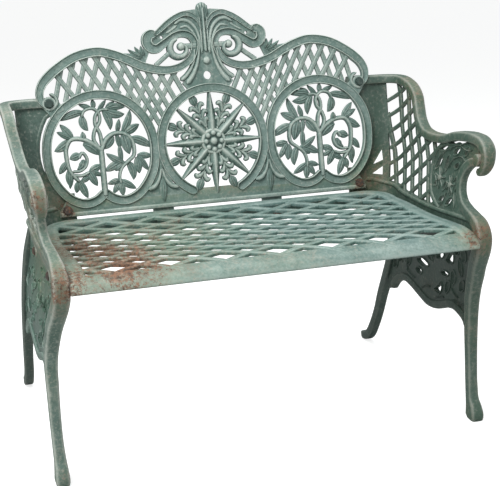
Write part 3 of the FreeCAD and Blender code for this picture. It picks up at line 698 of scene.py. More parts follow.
PAINTS = {
    Tone.BACK: Paint(
        "aged_paint_back", (0.14, 0.21, 0.19), (0.44, 0.5, 0.45), (0.018, 0.034, 0.028), 0.8, 1.0
    ),
    Tone.SEAT: Paint(
        "aged_paint_seat", (0.085, 0.15, 0.14), (0.32, 0.4, 0.37), (0.018, 0.036, 0.032), 1.0, 0.9
    ),
    Tone.END: Paint(
        "aged_paint_left_end", (0.085, 0.135, 0.115), (0.42, 0.45, 0.4), (0.012, 0.026, 0.02), 0.9, 0.85
    ),
    # Right end: the same paint darkened as painted shade.
    Tone.SHADED: Paint(
        "aged_paint_right_end_painted_shade", (0.06, 0.1, 0.08), (0.25, 0.27, 0.23), (0.01, 0.022, 0.016), 0.9, 0.75
    ),
    # Rear legs: the same paint darkened further as painted shade.
    Tone.REAR: Paint(
        "aged_paint_rear_legs_painted_shade", (0.04, 0.065, 0.055), (0.14, 0.16, 0.14), (0.008, 0.016, 0.012), 0.7, 0.7
    ),
    # Left apron: the paint darkened as painted half shade, lighter than the right apron.
    Tone.OUTER: Paint(
        "aged_paint_left_apron_painted_half_shade", (0.06, 0.115, 0.092), (0.26, 0.34, 0.3), (0.01, 0.024, 0.018), 0.6, 0.9
    ),
    # Aprons: the paint darkened deepest as painted shade.
    Tone.APRON: Paint(
        "aged_paint_aprons_painted_shade", (0.032, 0.055, 0.044), (0.11, 0.14, 0.12), (0.008, 0.014, 0.011), 0.6, 0.6
    ),
}
RUST_DARK = (0.055, 0.028, 0.017, 1)
RUST_WARM = (0.2, 0.092, 0.05, 1)
RUST_PALE = (0.3, 0.2, 0.14, 1)


class Graph:
    """A node tree being wired, for a material or a shader group."""

    def __init__(self, tree: bpy.types.NodeTree) -> None:
        """Starts with the tree's own nodes and links."""
        self.tree = tree

    def node(self, kind: str, **values: object) -> bpy.types.Node:
        """Adds a node and sets its properties or, for names with a capital, its sockets."""
        made = self.tree.nodes.new(kind)
        for key, value in values.items():
            if key[0].isupper():
                made.inputs[key.replace("_", " ")].default_value = value
            else:
                setattr(made, key, value)
        return made

    def link(self, source: bpy.types.NodeSocket, target: bpy.types.NodeSocket) -> None:
        """Joins two sockets."""
        self.tree.links.new(source, target)

    def math(
        self, kind: str, first: object, second: object = 0.5, clamp: bool = False
    ) -> bpy.types.NodeSocket:
        """A Math node of two numbers or sockets."""
        made = self.node("ShaderNodeMath", operation=kind, use_clamp=clamp)
        for place, value in enumerate((first, second)):
            if isinstance(value, bpy.types.NodeSocket):
                self.link(value, made.inputs[place])
            else:
                made.inputs[place].default_value = value
        return made.outputs[0]

    def between(self, value: object, low: float, high: float) -> bpy.types.NodeSocket:
        """A smooth step from 0 at low to 1 at high."""
        made = self.node("ShaderNodeMapRange", interpolation_type="SMOOTHSTEP")
        self.link(value, made.inputs["Value"])
        made.inputs["From Min"].default_value = low
        made.inputs["From Max"].default_value = high
        return made.outputs["Result"]

    def mix(self, share: object, first: object, second: object) -> bpy.types.NodeSocket:
        """Blends two colours or colour sockets."""
        made = self.node("ShaderNodeMix", data_type="RGBA")
        for place, value in ((0, share), (6, first), (7, second)):
            if isinstance(value, bpy.types.NodeSocket):
                self.link(value, made.inputs[place])
            else:
                made.inputs[place].default_value = value
        return made.outputs[2]

    def noise(
        self, where: object, scale: float, detail: float = 4.0, rough: float = 0.55
    ) -> bpy.types.NodeSocket:
        """Fractal noise over the object's own coordinates."""
        made = self.node("ShaderNodeTexNoise", Scale=scale, Detail=detail, Roughness=rough)
        self.link(where, made.inputs["Vector"])
        return made.outputs["Fac"]


def shader_group(name: str, inputs: dict[str, str], outputs: dict[str, str]) -> tuple[Graph, dict, dict]:
    """An empty node group with named sockets.

    Args:
        name: Its name.
        inputs: Socket name to kind, Float, Color or Vector.
        outputs: The same for its outputs.

    Returns:
        The graph, its input sockets by name and its output sockets by name.
    """
    tree = bpy.data.node_groups.new(name, "ShaderNodeTree")
    for side, sockets in (("INPUT", inputs), ("OUTPUT", outputs)):
        for label, kind in sockets.items():
            tree.interface.new_socket(name=label, in_out=side, socket_type="NodeSocket" + kind)
    graph = Graph(tree)
    entry = graph.node("NodeGroupInput").outputs
    leave = graph.node("NodeGroupOutput").inputs
    return graph, {k: entry[k] for k in inputs}, {k: leave[k] for k in outputs}


def cast_grain_group() -> bpy.types.NodeTree:
    """Height of sand-cast iron under brushed paint: grains, shallow pits and slow waves."""
    outputs = {"Height": "Float", "Pits": "Float"}
    graph, entry, leave = shader_group("CastGrain", {"Vector": "Vector"}, outputs)
    fine = graph.noise(entry["Vector"], 650, 3)
    middling = graph.noise(entry["Vector"], 180, 4)
    slow = graph.noise(entry["Vector"], 45, 2)
    pits = graph.node("ShaderNodeTexVoronoi", Scale=260.0)
    graph.link(entry["Vector"], pits.inputs["Vector"])
    pit = graph.between(pits.outputs["Distance"], 0.02, 0.22)
    height = graph.math("MULTIPLY", fine, 0.25)
    height = graph.math("ADD", height, graph.math("MULTIPLY", middling, 0.55))
    height = graph.math("ADD", height, graph.math("MULTIPLY", slow, 0.5))
    height = graph.math("ADD", height, graph.math("MULTIPLY", pit, 0.12))
    graph.link(height, leave["Height"])
    graph.link(graph.math("SUBTRACT", 1.0, pit), leave["Pits"])
    return graph.tree


def worn_crest_and_groove_shade_group() -> bpy.types.NodeTree:
    """Mask of crests rubbed pale, and a mask of painted shade and dirt in the grooves: the raised value
    pushed about by two noises.
    """
    inputs = {"Vector": "Vector", "Raised": "Float", "Amount": "Float"}
    graph, entry, leave = shader_group("WornCrestsAndGrooveShade", inputs, {"Mask": "Float", "Grooves": "Float"})
    broad = graph.noise(entry["Vector"], 24, 3)
    close = graph.noise(entry["Vector"], 210, 4, 0.65)
    push = graph.math("ADD", graph.math("MULTIPLY", broad, 0.55), graph.math("MULTIPLY", close, 0.6))
    level = graph.math("ADD", entry["Raised"], graph.math("SUBTRACT", push, 0.58))
    mask = graph.between(level, 0.4, 1.05)
    graph.link(graph.math("MULTIPLY", mask, entry["Amount"], True), leave["Mask"])
    # Grooves: painted shade and dirt where the raised value is low.
    graph.link(graph.between(graph.math("SUBTRACT", 1.0, level), 0.55, 1.1), leave["Grooves"])
    return graph.tree


def rust_group() -> bpy.types.NodeTree:
    """Mask and colour of rust: broken-edged blooms where the amount is high, specks elsewhere."""
    inputs = {"Vector": "Vector", "Amount": "Float"}
    outputs = {"Mask": "Float", "Color": "Color", "Stain": "Float"}
    graph, entry, leave = shader_group("RustBloom", inputs, outputs)
    broad = graph.noise(entry["Vector"], 20, 5, 0.6)
    close = graph.noise(entry["Vector"], 130, 6, 0.75)
    speck = graph.noise(entry["Vector"], 420, 3, 0.6)
    push = graph.math("ADD", graph.math("MULTIPLY", broad, 0.5), graph.math("MULTIPLY", close, 0.85))
    push = graph.math("ADD", push, graph.math("MULTIPLY", speck, 0.4))
    level = graph.math("ADD", graph.math("MULTIPLY", entry["Amount"], 0.62), push)
    mask = graph.between(level, 1.14, 1.3)
    graph.link(mask, leave["Mask"])
    graph.link(graph.between(level, 0.92, 1.25), leave["Stain"])
    shade = graph.between(graph.noise(entry["Vector"], 140, 4), 0.35, 0.65)
    colour = graph.mix(shade, RUST_DARK, RUST_WARM)
    colour = graph.mix(graph.between(graph.noise(entry["Vector"], 60, 3), 0.55, 0.75), colour, RUST_PALE)
    graph.link(colour, leave["Color"])
    return graph.tree


def paint_tone_group() -> bpy.types.NodeTree:
    """Paint colour drifting between chalky, sound and grimy over the casting."""
    inputs = {"Vector": "Vector", "Body": "Color", "Pale": "Color", "Deep": "Color"}
    graph, entry, leave = shader_group("PaintTone", inputs, {"Color": "Color"})
    drift = graph.between(graph.noise(entry["Vector"], 11, 3), 0.3, 0.7)
    chalk = graph.between(graph.noise(entry["Vector"], 130, 5, 0.65), 0.48, 0.78)
    grime = graph.between(graph.noise(entry["Vector"], 55, 5, 0.7), 0.55, 0.85)
    tinted = graph.node("ShaderNodeHueSaturation", Hue=0.488, Saturation=1.15, Value=0.86)
    graph.link(entry["Body"], tinted.inputs["Color"])
    colour = graph.mix(drift, tinted.outputs[0], entry["Body"])
    colour = graph.mix(graph.math("MULTIPLY", chalk, 0.5), colour, entry["Pale"])
    colour = graph.mix(graph.math("MULTIPLY", grime, 0.65), colour, entry["Deep"])
    graph.link(colour, leave["Color"])
    return graph.tree


@dataclass
class Finishes:
    """Every material, made once from the shared effect groups."""

    groups: dict[str, bpy.types.NodeTree] = field(default_factory=dict)

    def __post_init__(self) -> None:
        """Builds the shared groups."""
        makers = (cast_grain_group, worn_crest_and_groove_shade_group, rust_group, paint_tone_group)
        self.groups = {tree.name: tree for tree in (make() for make in makers)}

    def start(self, name: str) -> tuple[Graph, bpy.types.Node, bpy.types.NodeSocket]:
        """A material with its Principled shader and object coordinates."""
        material = bpy.data.materials.new(name)
        material.use_nodes = True
        graph = Graph(material.node_tree)
        shader = material.node_tree.nodes["Principled BSDF"]
        where = graph.node("ShaderNodeTexCoord").outputs["Object"]
        return graph, shader, where

    def group(self, graph: Graph, name: str, where: bpy.types.NodeSocket) -> bpy.types.Node:
        """Places a shared group and gives it the coordinates."""
        made = graph.node("ShaderNodeGroup", node_tree=self.groups[name])
        graph.link(where, made.inputs["Vector"])
        return made

    def paint(self, tone: Tone) -> bpy.types.Material:
        """Old paint over cast iron, worn on crests, darkened in the grooves by painted shade and dirt, and
        rusting in patches.
        """
        coat = PAINTS[tone]
        graph, shader, where = self.start(coat.name)
        raised = graph.node("ShaderNodeAttribute", attribute_name="raised").outputs["Fac"]
        rust = graph.node("ShaderNodeAttribute", attribute_name="rust").outputs["Fac"]
        grain = self.group(graph, "CastGrain", where)
        tones = self.group(graph, "PaintTone", where)
        for label, value in (("Body", coat.body), ("Pale", coat.pale), ("Deep", coat.deep)):
            tones.inputs[label].default_value = (*value, 1)
        worn = self.group(graph, "WornCrestsAndGrooveShade", where)
        worn.inputs["Amount"].default_value = coat.wear
        graph.link(raised, worn.inputs["Raised"])
        blooms = self.group(graph, "RustBloom", where)
        graph.link(graph.math("MULTIPLY", rust, coat.rust), blooms.inputs["Amount"])
        # Painted shade and dirt: grooves darkened towards the deep colour.
        share = graph.math("MULTIPLY", worn.outputs["Grooves"], 0.9)
        colour = graph.mix(share, tones.outputs["Color"], (*coat.deep, 1))
        share = graph.math("MULTIPLY", worn.outputs["Mask"], 0.85)
        colour = graph.mix(share, colour, (*coat.pale, 1))
        damp = graph.node("ShaderNodeHueSaturation", Hue=0.42, Saturation=1.1, Value=1.0)
        graph.link(colour, damp.inputs["Color"])
        share = graph.math("MULTIPLY", graph.between(rust, 0.0, 0.45), 0.75)
        colour = graph.mix(share, colour, damp.outputs[0])
        share = graph.math("MULTIPLY", blooms.outputs["Stain"], 0.3)
        colour = graph.mix(share, colour, RUST_PALE)
        share = graph.math("MULTIPLY", blooms.outputs["Mask"], 0.9)
        colour = graph.mix(share, colour, blooms.outputs["Color"])
        graph.link(colour, shader.inputs["Base Color"])
        rough = graph.math("ADD", graph.math("MULTIPLY", blooms.outputs["Mask"], 0.25), 0.52)
        rough = graph.math("ADD", rough, graph.math("MULTIPLY", grain.outputs["Pits"], 0.15))
        graph.link(rough, shader.inputs["Roughness"])
        shader.inputs["Specular IOR Level"].default_value = 0.4
        crust = graph.math("MULTIPLY", blooms.outputs["Mask"], 0.35)
        height = graph.math("ADD", grain.outputs["Height"], crust)
        bump = graph.node("ShaderNodeBump", Strength=0.45, Distance=0.0009)
        graph.link(height, bump.inputs["Height"])
        graph.link(bump.outputs["Normal"], shader.inputs["Normal"])
        return bpy.data.materials[coat.name]

    def rusty_steel(self) -> bpy.types.Material:
        """Plain steel fasteners gone brown, with a little metal left."""
        graph, shader, where = self.start("rusty_steel")
        grain = self.group(graph, "CastGrain", where)
        blooms = self.group(graph, "RustBloom", where)
        blooms.inputs["Amount"].default_value = 0.45
        colour = graph.mix(blooms.outputs["Mask"], (0.09, 0.075, 0.065, 1), blooms.outputs["Color"])
        graph.link(colour, shader.inputs["Base Color"])
        bare = graph.math("SUBTRACT", 1.0, blooms.outputs["Mask"])
        graph.link(graph.math("MULTIPLY", bare, 0.7), shader.inputs["Metallic"])
        rough = graph.math("ADD", graph.math("MULTIPLY", blooms.outputs["Mask"], 0.4), 0.45)
        graph.link(rough, shader.inputs["Roughness"])
        bump = graph.node("ShaderNodeBump", Strength=0.6, Distance=0.0006)
        graph.link(grain.outputs["Height"], bump.inputs["Height"])
        graph.link(bump.outputs["Normal"], shader.inputs["Normal"])
        return bpy.data.materials["rusty_steel"]


# ------------------------------------------------------------------ back


@dataclass
class BackCasting:
    """The one-piece back: shoulder rails, crest, lattice, two trees in rings and a star."""

    finish: bpy.types.Material
    star_z: float = 576.5
    ring: float = 117.0
    ring_wide: float = 20.0
    back: float = -12.0
    stem_swell: float = 1.1
    leaf_swell: float = 1.3
    rail: tuple[tuple[float, float], ...] = (
        (-356, 676), (-369, 690), (-371, 706), (-364, 724), (-348, 741), (-322, 760), (-292, 776),
        (-260, 784), (-236, 785), (-208, 778), (-177, 765), (-150, 751), (-122, 742), (-96, 737.5),
        (-72, 739), (-52, 746),
        (-36, 758), (-26, 776), (-24, 795), (-33, 808), (-49, 813), (-66, 810), (-82, 801), (-97, 791),
        (-110, 784), (-122, 787), (-129, 797), (-128, 809), (-119, 816), (-109, 811),
    )
    lobe: tuple[tuple[float, float], ...] = (
        (-2, -94), (-18, -106), (-44, -112), (-72, -102), (-95, -79), (-112, -46), (-117, -12),
    )
    stems: tuple[tuple[tuple[tuple[float, float], ...], float, float], ...] = (
        (((0, -98), (0, -40), (0, 0)), 12, 11),
        (((0, -2), (-18, 14), (-44, 26), (-64, 25), (-75, 8), (-76, -16), (-72, -40), (-54, -64)), 10, 8),
        (((0, -2), (12, 20), (28, 31), (50, 31), (66, 20), (72, 0), (70, -18), (56, -30), (42, -42),
          (35, -60), (36, -76)), 10, 6),
        (((3, 10), (0, 35), (-8, 55), (-4, 76), (6, 84), (22, 84)), 8, 6),
        (((-6, 6), (-14, 22), (-10, 42), (2, 60), (2, 76), (-10, 88), (-30, 84), (-36, 72)), 8, 6),
        (((-50, -14), (-42, -4), (-33, -16), (-36, -32), (-50, -42), (-66, -42)), 7, 6),
        (((-66, -50), (-46, -52), (-30, -46)), 7, 6),
    )
    leaves: tuple[tuple[tuple[float, float], tuple[float, float], float, float], ...] = (
        ((-66, 26), (-101, 4), 15, 3), ((-60, 27), (-92, 44), 11, 0), ((-58, 28), (-84, 60), 12, 0),
        ((-30, 82), (-82, 67), 13, -4), ((-12, 88), (-40, 99), 9, 0), ((-8, 88), (-9, 108), 9, 0),
        ((0, 82), (20, 105), 8, 0), ((-34, 76), (-24, 42), 14, -5), ((-36, 20), (-37, 41), 10, 0),
        ((-38, 15), (-5, -12), 17, 4), ((-46, -7), (-70, -15), 14, 0), ((-42, -18), (-56, -38), 14, 6),
        ((-76, -20), (-95, -45), 12, 0), ((-72, -36), (-77, -70), 13, 0), ((-69, -44), (-75, -78), 9, 0),
        ((-30, -45), (-2, -32), 13, 0), ((-26, -44), (-3, -56), 9, 0), ((-32, -44), (-15, -77), 13, 0),
        ((-30, -55), (-52, -66), 10, 0), ((-54, -62), (-38, -101), 13, 0), ((-57, -64), (-62, -88), 11, 0),
        ((17, 84), (60, 86), 13, 4), ((16, 84), (58, 72), 15, -5), ((18, 88), (38, 100), 8, 0),
        ((10, 84), (24, 40), 13, 5), ((38, 34), (45, 62), 9, 0), ((48, 32), (70, 80), 13, -4),
        ((54, 30), (88, 48), 14, 0), ((66, 20), (111, -3), 15, 3), ((50, 31), (61, -15), 18, 0),
        ((36, 32), (42, -3), 9, 0), ((29, 26), (8, 0), 14, 0), ((40, 6), (42, -34), 9, 0),
        ((50, -34), (10, -9), 12, 2), ((40, -29), (4, -47), 14, 0), ((46, -34), (26, -48), 10, 0),
        ((78, -18), (110, -22), 12, 0), ((78, -20), (100, -53), 11, 0), ((76, -22), (79, -58), 14, 0),
        ((54, -30), (65, -71), 14, 5), ((34, -67), (7, -75), 10, 0), ((34, -72), (18, -96), 11, 0),
        ((36, -73), (39, -103), 12, 0), ((34, -68), (69, -90), 12, 0),
    )

    def carver(self, name: str) -> Carver:
        """A carver on the back's leaning plane, gathering into a new piece."""
        return Carver(BackSheet(), Shells(name))

    def finish_piece(self, carver: Carver) -> None:
        """Builds what a carver gathered."""
        carver.shells.build(self.finish, "back_panel")

    def rails(self) -> None:
        """Both shoulder rails running into the crest's eyes, with their lower scroll ends."""
        carver = self.carver("back_shoulder_rails")
        for flip in (1, -1):
            half = carver.moved((0, 0), 0, flip)
            wide = np.interp(
                np.arange(len(self.rail)), [0, 4, 12, 17, 22, 25, 27, 29], [13, 21, 19, 15, 16, 22, 24, 18]
            )
            half.strip(self.rail, wide, MOULDED, self.back, 2.5, blunt=(True, True))
            half.strip([(-356, 670), (-344, 674), (-336, 686), (-340, 698), (-350, 704)], [10, 11, 9, 8, 7],
                       HALF_ROUND, self.back, 1.5, blunt=(False, True))
            half.plate([(-368, 678), (-352, 655), (-322, 668), (-334, 690), (-358, 696)], [], self.back, -2)
            half.boss((-353, 683), [(0, -12, 0.2), (15, -12, 0.2), (15, -2, 0.5), (13.5, 0, 0.9),
                                    (10, 0, 0.5), (0.6, 0, 0.4)])
        self.finish_piece(carver)

    def rings(self) -> None:
        """Heart-shaped rings round the trees and the full ring round the star."""
        carver = self.carver("back_rings")
        left = np.asarray(self.lobe)
        path = np.concatenate([left, arc(self.ring, 176, 4), left[::-1] * (-1, 1)])
        for side in (-1, 1):
            carver.moved((side * MEDAL_X, MEDAL_Z)).strip(path, self.ring_wide, MOULDED, self.back, 2.5)
        star = carver.moved((0, self.star_z))
        star.strip(arc(self.ring, 246, -66), self.ring_wide, MOULDED, self.back + 0.3, 2.9,
                   blunt=(True, True))
        for flip in (1, -1):
            half = carver.moved((0, 0), 0, flip)
            half.plate([(-180, 468), (-70, 468), (-98, 492), (-112, 520), (-119, 548), (-127, 548),
                        (-134, 520), (-150, 492)], [], self.back, -3.6)
            bud = carver.moved((flip * -123, 0), 0, flip)
            bud.leaf((0, 548), (0, 496), 7, 0, -5, 2)
            bud.leaf((0, 508), (0, 456), 17, 0, -6, 4.5, blunt=0.45)
            for lean in (-1, 1):
                bud.strip([(lean, 526), (lean * 8, 503), (lean * 19, 489), (lean * 34, 484)],
                          [5, 8, 12, 11], HALF_ROUND, -6, 3, blunt=(False, True))
        self.finish_piece(carver)

    def lattice(self) -> None:
        """Crossed bars hanging from the shoulder rails to whichever ring they reach first."""
        carver = self.carver("back_lattice")
        line = np.asarray(self.rail[3:17])
        for flip in (1, -1):
            half = carver.moved((0, 0), 0, flip)
            for k in range(10):
                falling = (-337 + 28.3 * k, -1.45 - 0.09 * min(k, 6), 0.0)
                rising = (-318 + 28.0 * k, 3.6 - 0.26 * min(k, 8), -0.9)
                for start, slope, lift in (falling, rising):
                    top = float(np.interp(start, line[:, 0], line[:, 1]))
                    sign = -1 if slope > 0 else 1
                    heading = np.array([1, slope])
                    run = np.arange(0, 240, 1.0)[:, None] * heading / math.hypot(1, slope) * sign
                    walk = run + (start, top)
                    medal = np.hypot(walk[:, 0] + MEDAL_X, walk[:, 1] - MEDAL_Z)
                    star = np.hypot(walk[:, 0], walk[:, 1] - self.star_z)
                    end = int(np.argmax(np.minimum(medal, star) < self.ring + 8.5))
                    half.strip([walk[6], walk[max(end, 12)]], 10.6, BAR, -10, -2.4 + 2.4 * lift, step=8)
        self.finish_piece(carver)

    def tree(self, side: int) -> None:
        """One medallion's tree: trunk, curling branches and pointed leaves in layers."""
        carver = self.carver("back_tree_left" if side < 0 else "back_tree_right")
        draw = carver.moved((side * MEDAL_X, MEDAL_Z), 0, -side)
        for points, start, end in self.stems:
            wide = np.linspace(start, end, len(points)) * self.stem_swell
            draw.strip(points, wide, HALF_ROUND, -10, 0, blunt=(False, True))
        for k, (base, tip, wide, bow) in enumerate(self.leaves):
            lift = 3.2 * ((k * 0.618) % 1.0)
            draw.leaf(base, tip, wide * self.leaf_swell, bow, -10, -0.5 + lift, blunt=0.3)
        self.finish_piece(carver)

    def star(self) -> None:
        """Eight ridged points, eight lobed sprigs and a rosette of beads."""
        carver = self.carver("back_star")
        for k in range(8):
            ray = carver.moved((0, self.star_z), 45 * k)
            ray.strip([(14, 0), (26, 0), (44, 0), (80, 0), (108, 0), (118, 0)], [15, 20, 24.5, 14, 6, 3],
                      RIDGE, -11, [3.5, 4, 5, 3.8, 2.4, -7], straight=True)
            sprig = carver.moved((0, self.star_z), 45 * k + 22.5)
            sprig.strip([(24, 0), (104, 0)], [5, 5], HALF_ROUND, -10, -3, step=8)
            sprig.leaf((86, 0), (114, 0), 19, 0, -9, 2.6, blunt=0.3)
            for reach, size in ((46, 10), (62, 15.5), (79, 16)):
                for lean in (-1, 1):
                    curl = [(reach - 10, lean), (reach + 1, lean * size * 0.36),
                            (reach + 6, lean * size * 0.75), (reach, lean * size * 1.1)]
                    sprig.strip(curl, [6, 10, 11.5, 8], HALF_ROUND, -9.5, [-2, 0.8, 2.4, 0.5],
                                step=2, blunt=(False, True))
        middle = carver.moved((0, self.star_z))
        middle.boss((0, 0), [(0, -12, 0.2), (28, -12, 0.2), (29, -3, 0.5), (27, 1, 1), (24, 2, 0.9),
                             (20, 0, 0.2), (0.6, 0, 0.1)], 40)
        middle.dome((0, 0), 8.8, -4, 8.5)
        for k in range(8):
            turn = math.radians(45 * k)
            middle.dome((18 * math.cos(turn), 18 * math.sin(turn)), 6.0, -3, 6)
        self.finish_piece(carver)

    def crest(self) -> None:
        """Palmette crest: flutes fanning from the stem, eyes, stays, reeds and shoulder leaves."""
        carver = self.carver("back_crest")
        for flip in (1, -1):
            half = carver.moved((0, 0), 0, flip)
            bend = np.radians(np.arange(110, 251, 20))
            notch = [(0, 730), *[(9 * math.cos(a), 721 + 9 * math.sin(a)) for a in bend], (0, 712)]
            web = [(0, 698), (-48, 694), (-58, 706), (-44, 722), (-33, 742), (-28, 770), (-27, 800),
                   (-50, 813), (-74, 806), (-92, 795), (-106, 790), (-118, 798), (-114, 814), (-100, 823),
                   (-80, 839), (-60, 852), (-40, 862), (-18, 864), (0, 864)]
            half.plate(web + notch, [
                [(-96 + 3.5 * c, 808 + 3.5 * s) for c, s in self.octagon()],
                [(-75 + 3.2 * c, 821 + 3.2 * s) for c, s in self.octagon()],
            ], self.back, -3.5)
            half.strip([(-112, 814), (-97, 825), (-79, 839), (-60, 850), (-41, 856), (-24, 851), (-11, 838),
                        (-5, 820)], [9, 11, 12, 12, 11, 10, 8, 5], MOULDED, -10, 2.6, blunt=(True, True))
            half.strip([(-66, 834), (-50, 843), (-35, 840), (-21, 827), (-13, 806), (-10, 782), (-9, 768)],
                       [7, 11, 11, 10, 8, 6, 5], HALF_ROUND, -9, 0.6, blunt=(True, True))
            half.strip([(-54, 826), (-40, 829), (-27, 818), (-18, 800), (-15, 782)], [6, 8, 8, 6, 5],
                       HALF_ROUND, -9, -0.6, blunt=(True, True))
            half.strip([(-86, 816), (-74, 822), (-60, 832)], [7, 8, 9], HALF_ROUND, -9, -1.4,
                       blunt=(True, True))
            half.strip([(-13, 800), (-16, 770), (-22, 746), (-34, 722), (-49, 705)], [6, 8, 10, 13, 16],
                       HALF_ROUND, -11, 1.5, blunt=(False, True))
            half.strip([(-25, 778), (-29, 752), (-38, 735), (-50, 721), (-61, 713)], [5, 8, 9, 11, 12],
                       HALF_ROUND, -11, 0.6, blunt=(False, True))
            half.strip([(-62, 803), (-73, 797), (-79, 785), (-75, 771), (-63, 764), (-50, 766), (-43, 774),
                        (-43, 784), (-49, 790)], [8, 13, 16, 16, 15, 13, 11, 9, 8], HALF_ROUND, -11, 3,
                       step=2, blunt=(True, True))
            half.dome((-54, 786), 9, -11, 3.4)
            half.strip([(-50, 786), (-20, 786)], [12, 12], BAR, -11, -1, step=8)
            half.strip([(-114, 749), (-74, 779)], [10, 10], BAR, -11, -1.5, step=8)
            for foot, tip, wide, lift in (((-140, 766), (-188, 779), 13, 0.5), ((-140, 768), (-172, 787),
                                                                                10, 1.5),
                                          ((-138, 770), (-157, 792), 9, 0.5), ((-136, 770), (-143, 793), 9,
                                                                               1.5)):
                half.leaf(foot, tip, wide, 2, -11, lift, blunt=0.35)
            half.plate([(-174, 769), (-160, 779), (-137, 786), (-126, 778), (-137, 754)], [], self.back, -4.5)
            for foot, tip in (((-3, 836), (-12, 872)), ((-1.5, 838), (-6, 877))):
                half.leaf(foot, tip, 8, 0, -9, 3, blunt=0.5)
            half.strip([(-8.5, 846), (-7.5, 810), (-7.5, 774)], [4, 5, 5], HALF_ROUND, -9, 0.5)
        carver.strip([(0, 866), (0, 820), (0, 772)], [7, 7, 9], HALF_ROUND, -10, 2.6, blunt=(False, True))
        carver.leaf((0, 838), (0, 879), 9, 0, -9, 4, blunt=0.5)
        carver.dome((0, 866), 13, -12, -1.5)
        carver.dome((0, 753), 8.5, -5, 3.5)
        self.finish_piece(carver)

    def octagon(self) -> list[tuple[float, float]]:
        """Unit corners of a small round hole."""
        return [(math.cos(a), math.sin(a)) for a in np.linspace(0, 2 * math.pi, 10, endpoint=False)]

    def foot(self) -> None:
        """Bottom rail with its ledge and the two lugs behind it."""
        carver = self.carver("back_foot_rail")
        half = [(-352, 441), (-352, 452), (-335, 477)]
        carver.plate(half + [(-x, z) for x, z in reversed(half)], [], self.back, -4, 24)
        carver.strip([(-350, 446), (350, 446)], 10, BAR, -6, 1.5, step=20)
        for side in (-1, 1):
            x = side * 125
            carver.plate([(x - 23, 393), (x + 23, 393), (x + 23, 450), (x - 23, 450)],
                         [[(x + 4.5 * c, 407 + 4.5 * s) for c, s in self.octagon()]], self.back, -5)
        self.finish_piece(carver)

    def build(self) -> None:
        """Makes every piece of the back."""
        self.rails()
        self.rings()
        self.lattice()
        self.tree(-1)
        self.tree(1)
        self.star()
        self.crest()
        self.foot()


# ------------------------------------------------------------------ seat


@dataclass
class SeatCasting:
    """The dished seat: a net of crossing bars in a plain border with a rolled front lip."""

    finish: bpy.types.Material
    pitch_x: float = 105.0
    pitch_y: float = 54.0
    first: float = 47.0
    bar: float = 13.0
    field_x: float = 376.0
    field_front: float = -341.0
    field_rear: float = 80.0

    def net(self) -> None:
        """Bars through the crossings, y = first - k pitch_y +/- x pitch_y / pitch_x, cut to the field."""
        carver = Carver(SeatSheet(), Shells("seat_net"))
        for direction in (-1, 1):
            slope = direction * self.pitch_y / self.pitch_x
            for k in range(-5, 14):
                level = self.first - k * self.pitch_y
                a, b = (np.array((x, level + slope * x)) for x in (-self.field_x, self.field_x))
                low, high = 0.0, 1.0
                for limit, sign in ((self.field_rear, 1), (self.field_front, -1)):
                    fa, fb = sign * (a[1] - limit), sign * (b[1] - limit)
                    if fa > 0 and fb > 0:
                        low, high = 1.0, 0.0
                    elif fa > 0:
                        low = max(low, fa / (fa - fb))
                    elif fb > 0:
                        high = min(high, fa / (fa - fb))
                if high - low < 0.02:
                    continue
                start, end = a + (b - a) * low, a + (b - a) * high
                carver.strip([start, end], self.bar, BAR, -7.4, -0.4 - 0.35 * direction, step=14)
        carver.shells.build(self.finish, "seat_grille")

    def border(self) -> None:
        """Plain band round three sides and the rolled lip along the front."""
        carver = Carver(SeatSheet(), Shells("seat_border"))
        side_x, rear_y = 384.5, 89.0
        half = [(-side_x, -352), (-side_x, -200), (-side_x, 30), (-378, 66), (-352, rear_y - 3),
                (-300, rear_y)]
        path = half + [(0, rear_y)] + [(-x, y) for x, y in half[::-1]]
        carver.strip(path, [33, 33, 33, 30, 26, 23, 23, 23, 26, 30, 33, 33, 33], BAR, -7, 0.3, step=9)
        outer = [(-328, 420), (-338, 415.3), (-347, 410), (-354, 404), (-360.5, 397), (-360.5, 393.5),
                 (-357, 391), (-353, 391.5), (-347, 398), (-338, 407.5), (-328, 413)]
        # The lip's underside has low raised values, so the paint darkens there as painted shade.
        raised = [0.55, 0.6, 0.75, 0.7, 0.9, 0.9, 0.5, 0.3, 0.2, 0.2, 0.2]
        profile = np.asarray(outer)
        along = np.r_[-400.8, -400, np.linspace(-390, 390, 40), 400, 400.8]
        trim = np.r_[0.94, 1.0, np.ones(40), 1.0, 0.94]
        middle = profile.mean(0)
        flat = middle + (profile - middle)[None] * trim[:, None, None]
        x = np.broadcast_to(along[:, None, None], flat[..., :1].shape)
        rings = np.concatenate([x, flat], -1)
        carver.shells.tube(rings, np.broadcast_to(np.asarray(raised), rings.shape[:2]))
        carver.shells.build(self.finish, "seat_grille")

    def ribs(self) -> None:
        """Ribs under the sides and rear, and the two pads that take the back's lugs."""
        shells = Shells("seat_ribs")
        across, deep = np.array([-1, 1, 1, -1]), np.array([-1, -1, 1, 1])
        flat_raised = np.full((2, 4), 0.3)
        boxes = [((-372, 96, 417), (372, 96, 417), (0, 4, 0), (0, 0, 17))]
        for side in (-1, 1):
            x = side * 397.5
            boxes.append(((x, -320, 403), (x, 46, 403), (3.9, 0, 0), (0, 0, 17)))
            boxes.append(((side * 102, 92, 412), (side * 148, 92, 412), (0, 11, 0), (0, 0, 18)))
        for start, end, u, v in boxes:
            ends = np.array([start, end], float)
            ring = ends[:, None, :] + across[None, :, None] * np.array(u) + deep[None, :, None] * np.array(v)
            shells.tube(ring, flat_raised)
        shells.build(self.finish, "seat_grille")

    def build(self) -> None:
        """Makes every piece of the seat."""
        self.net()
        self.border()
        self.ribs()


# ------------------------------------------------------------------ ends


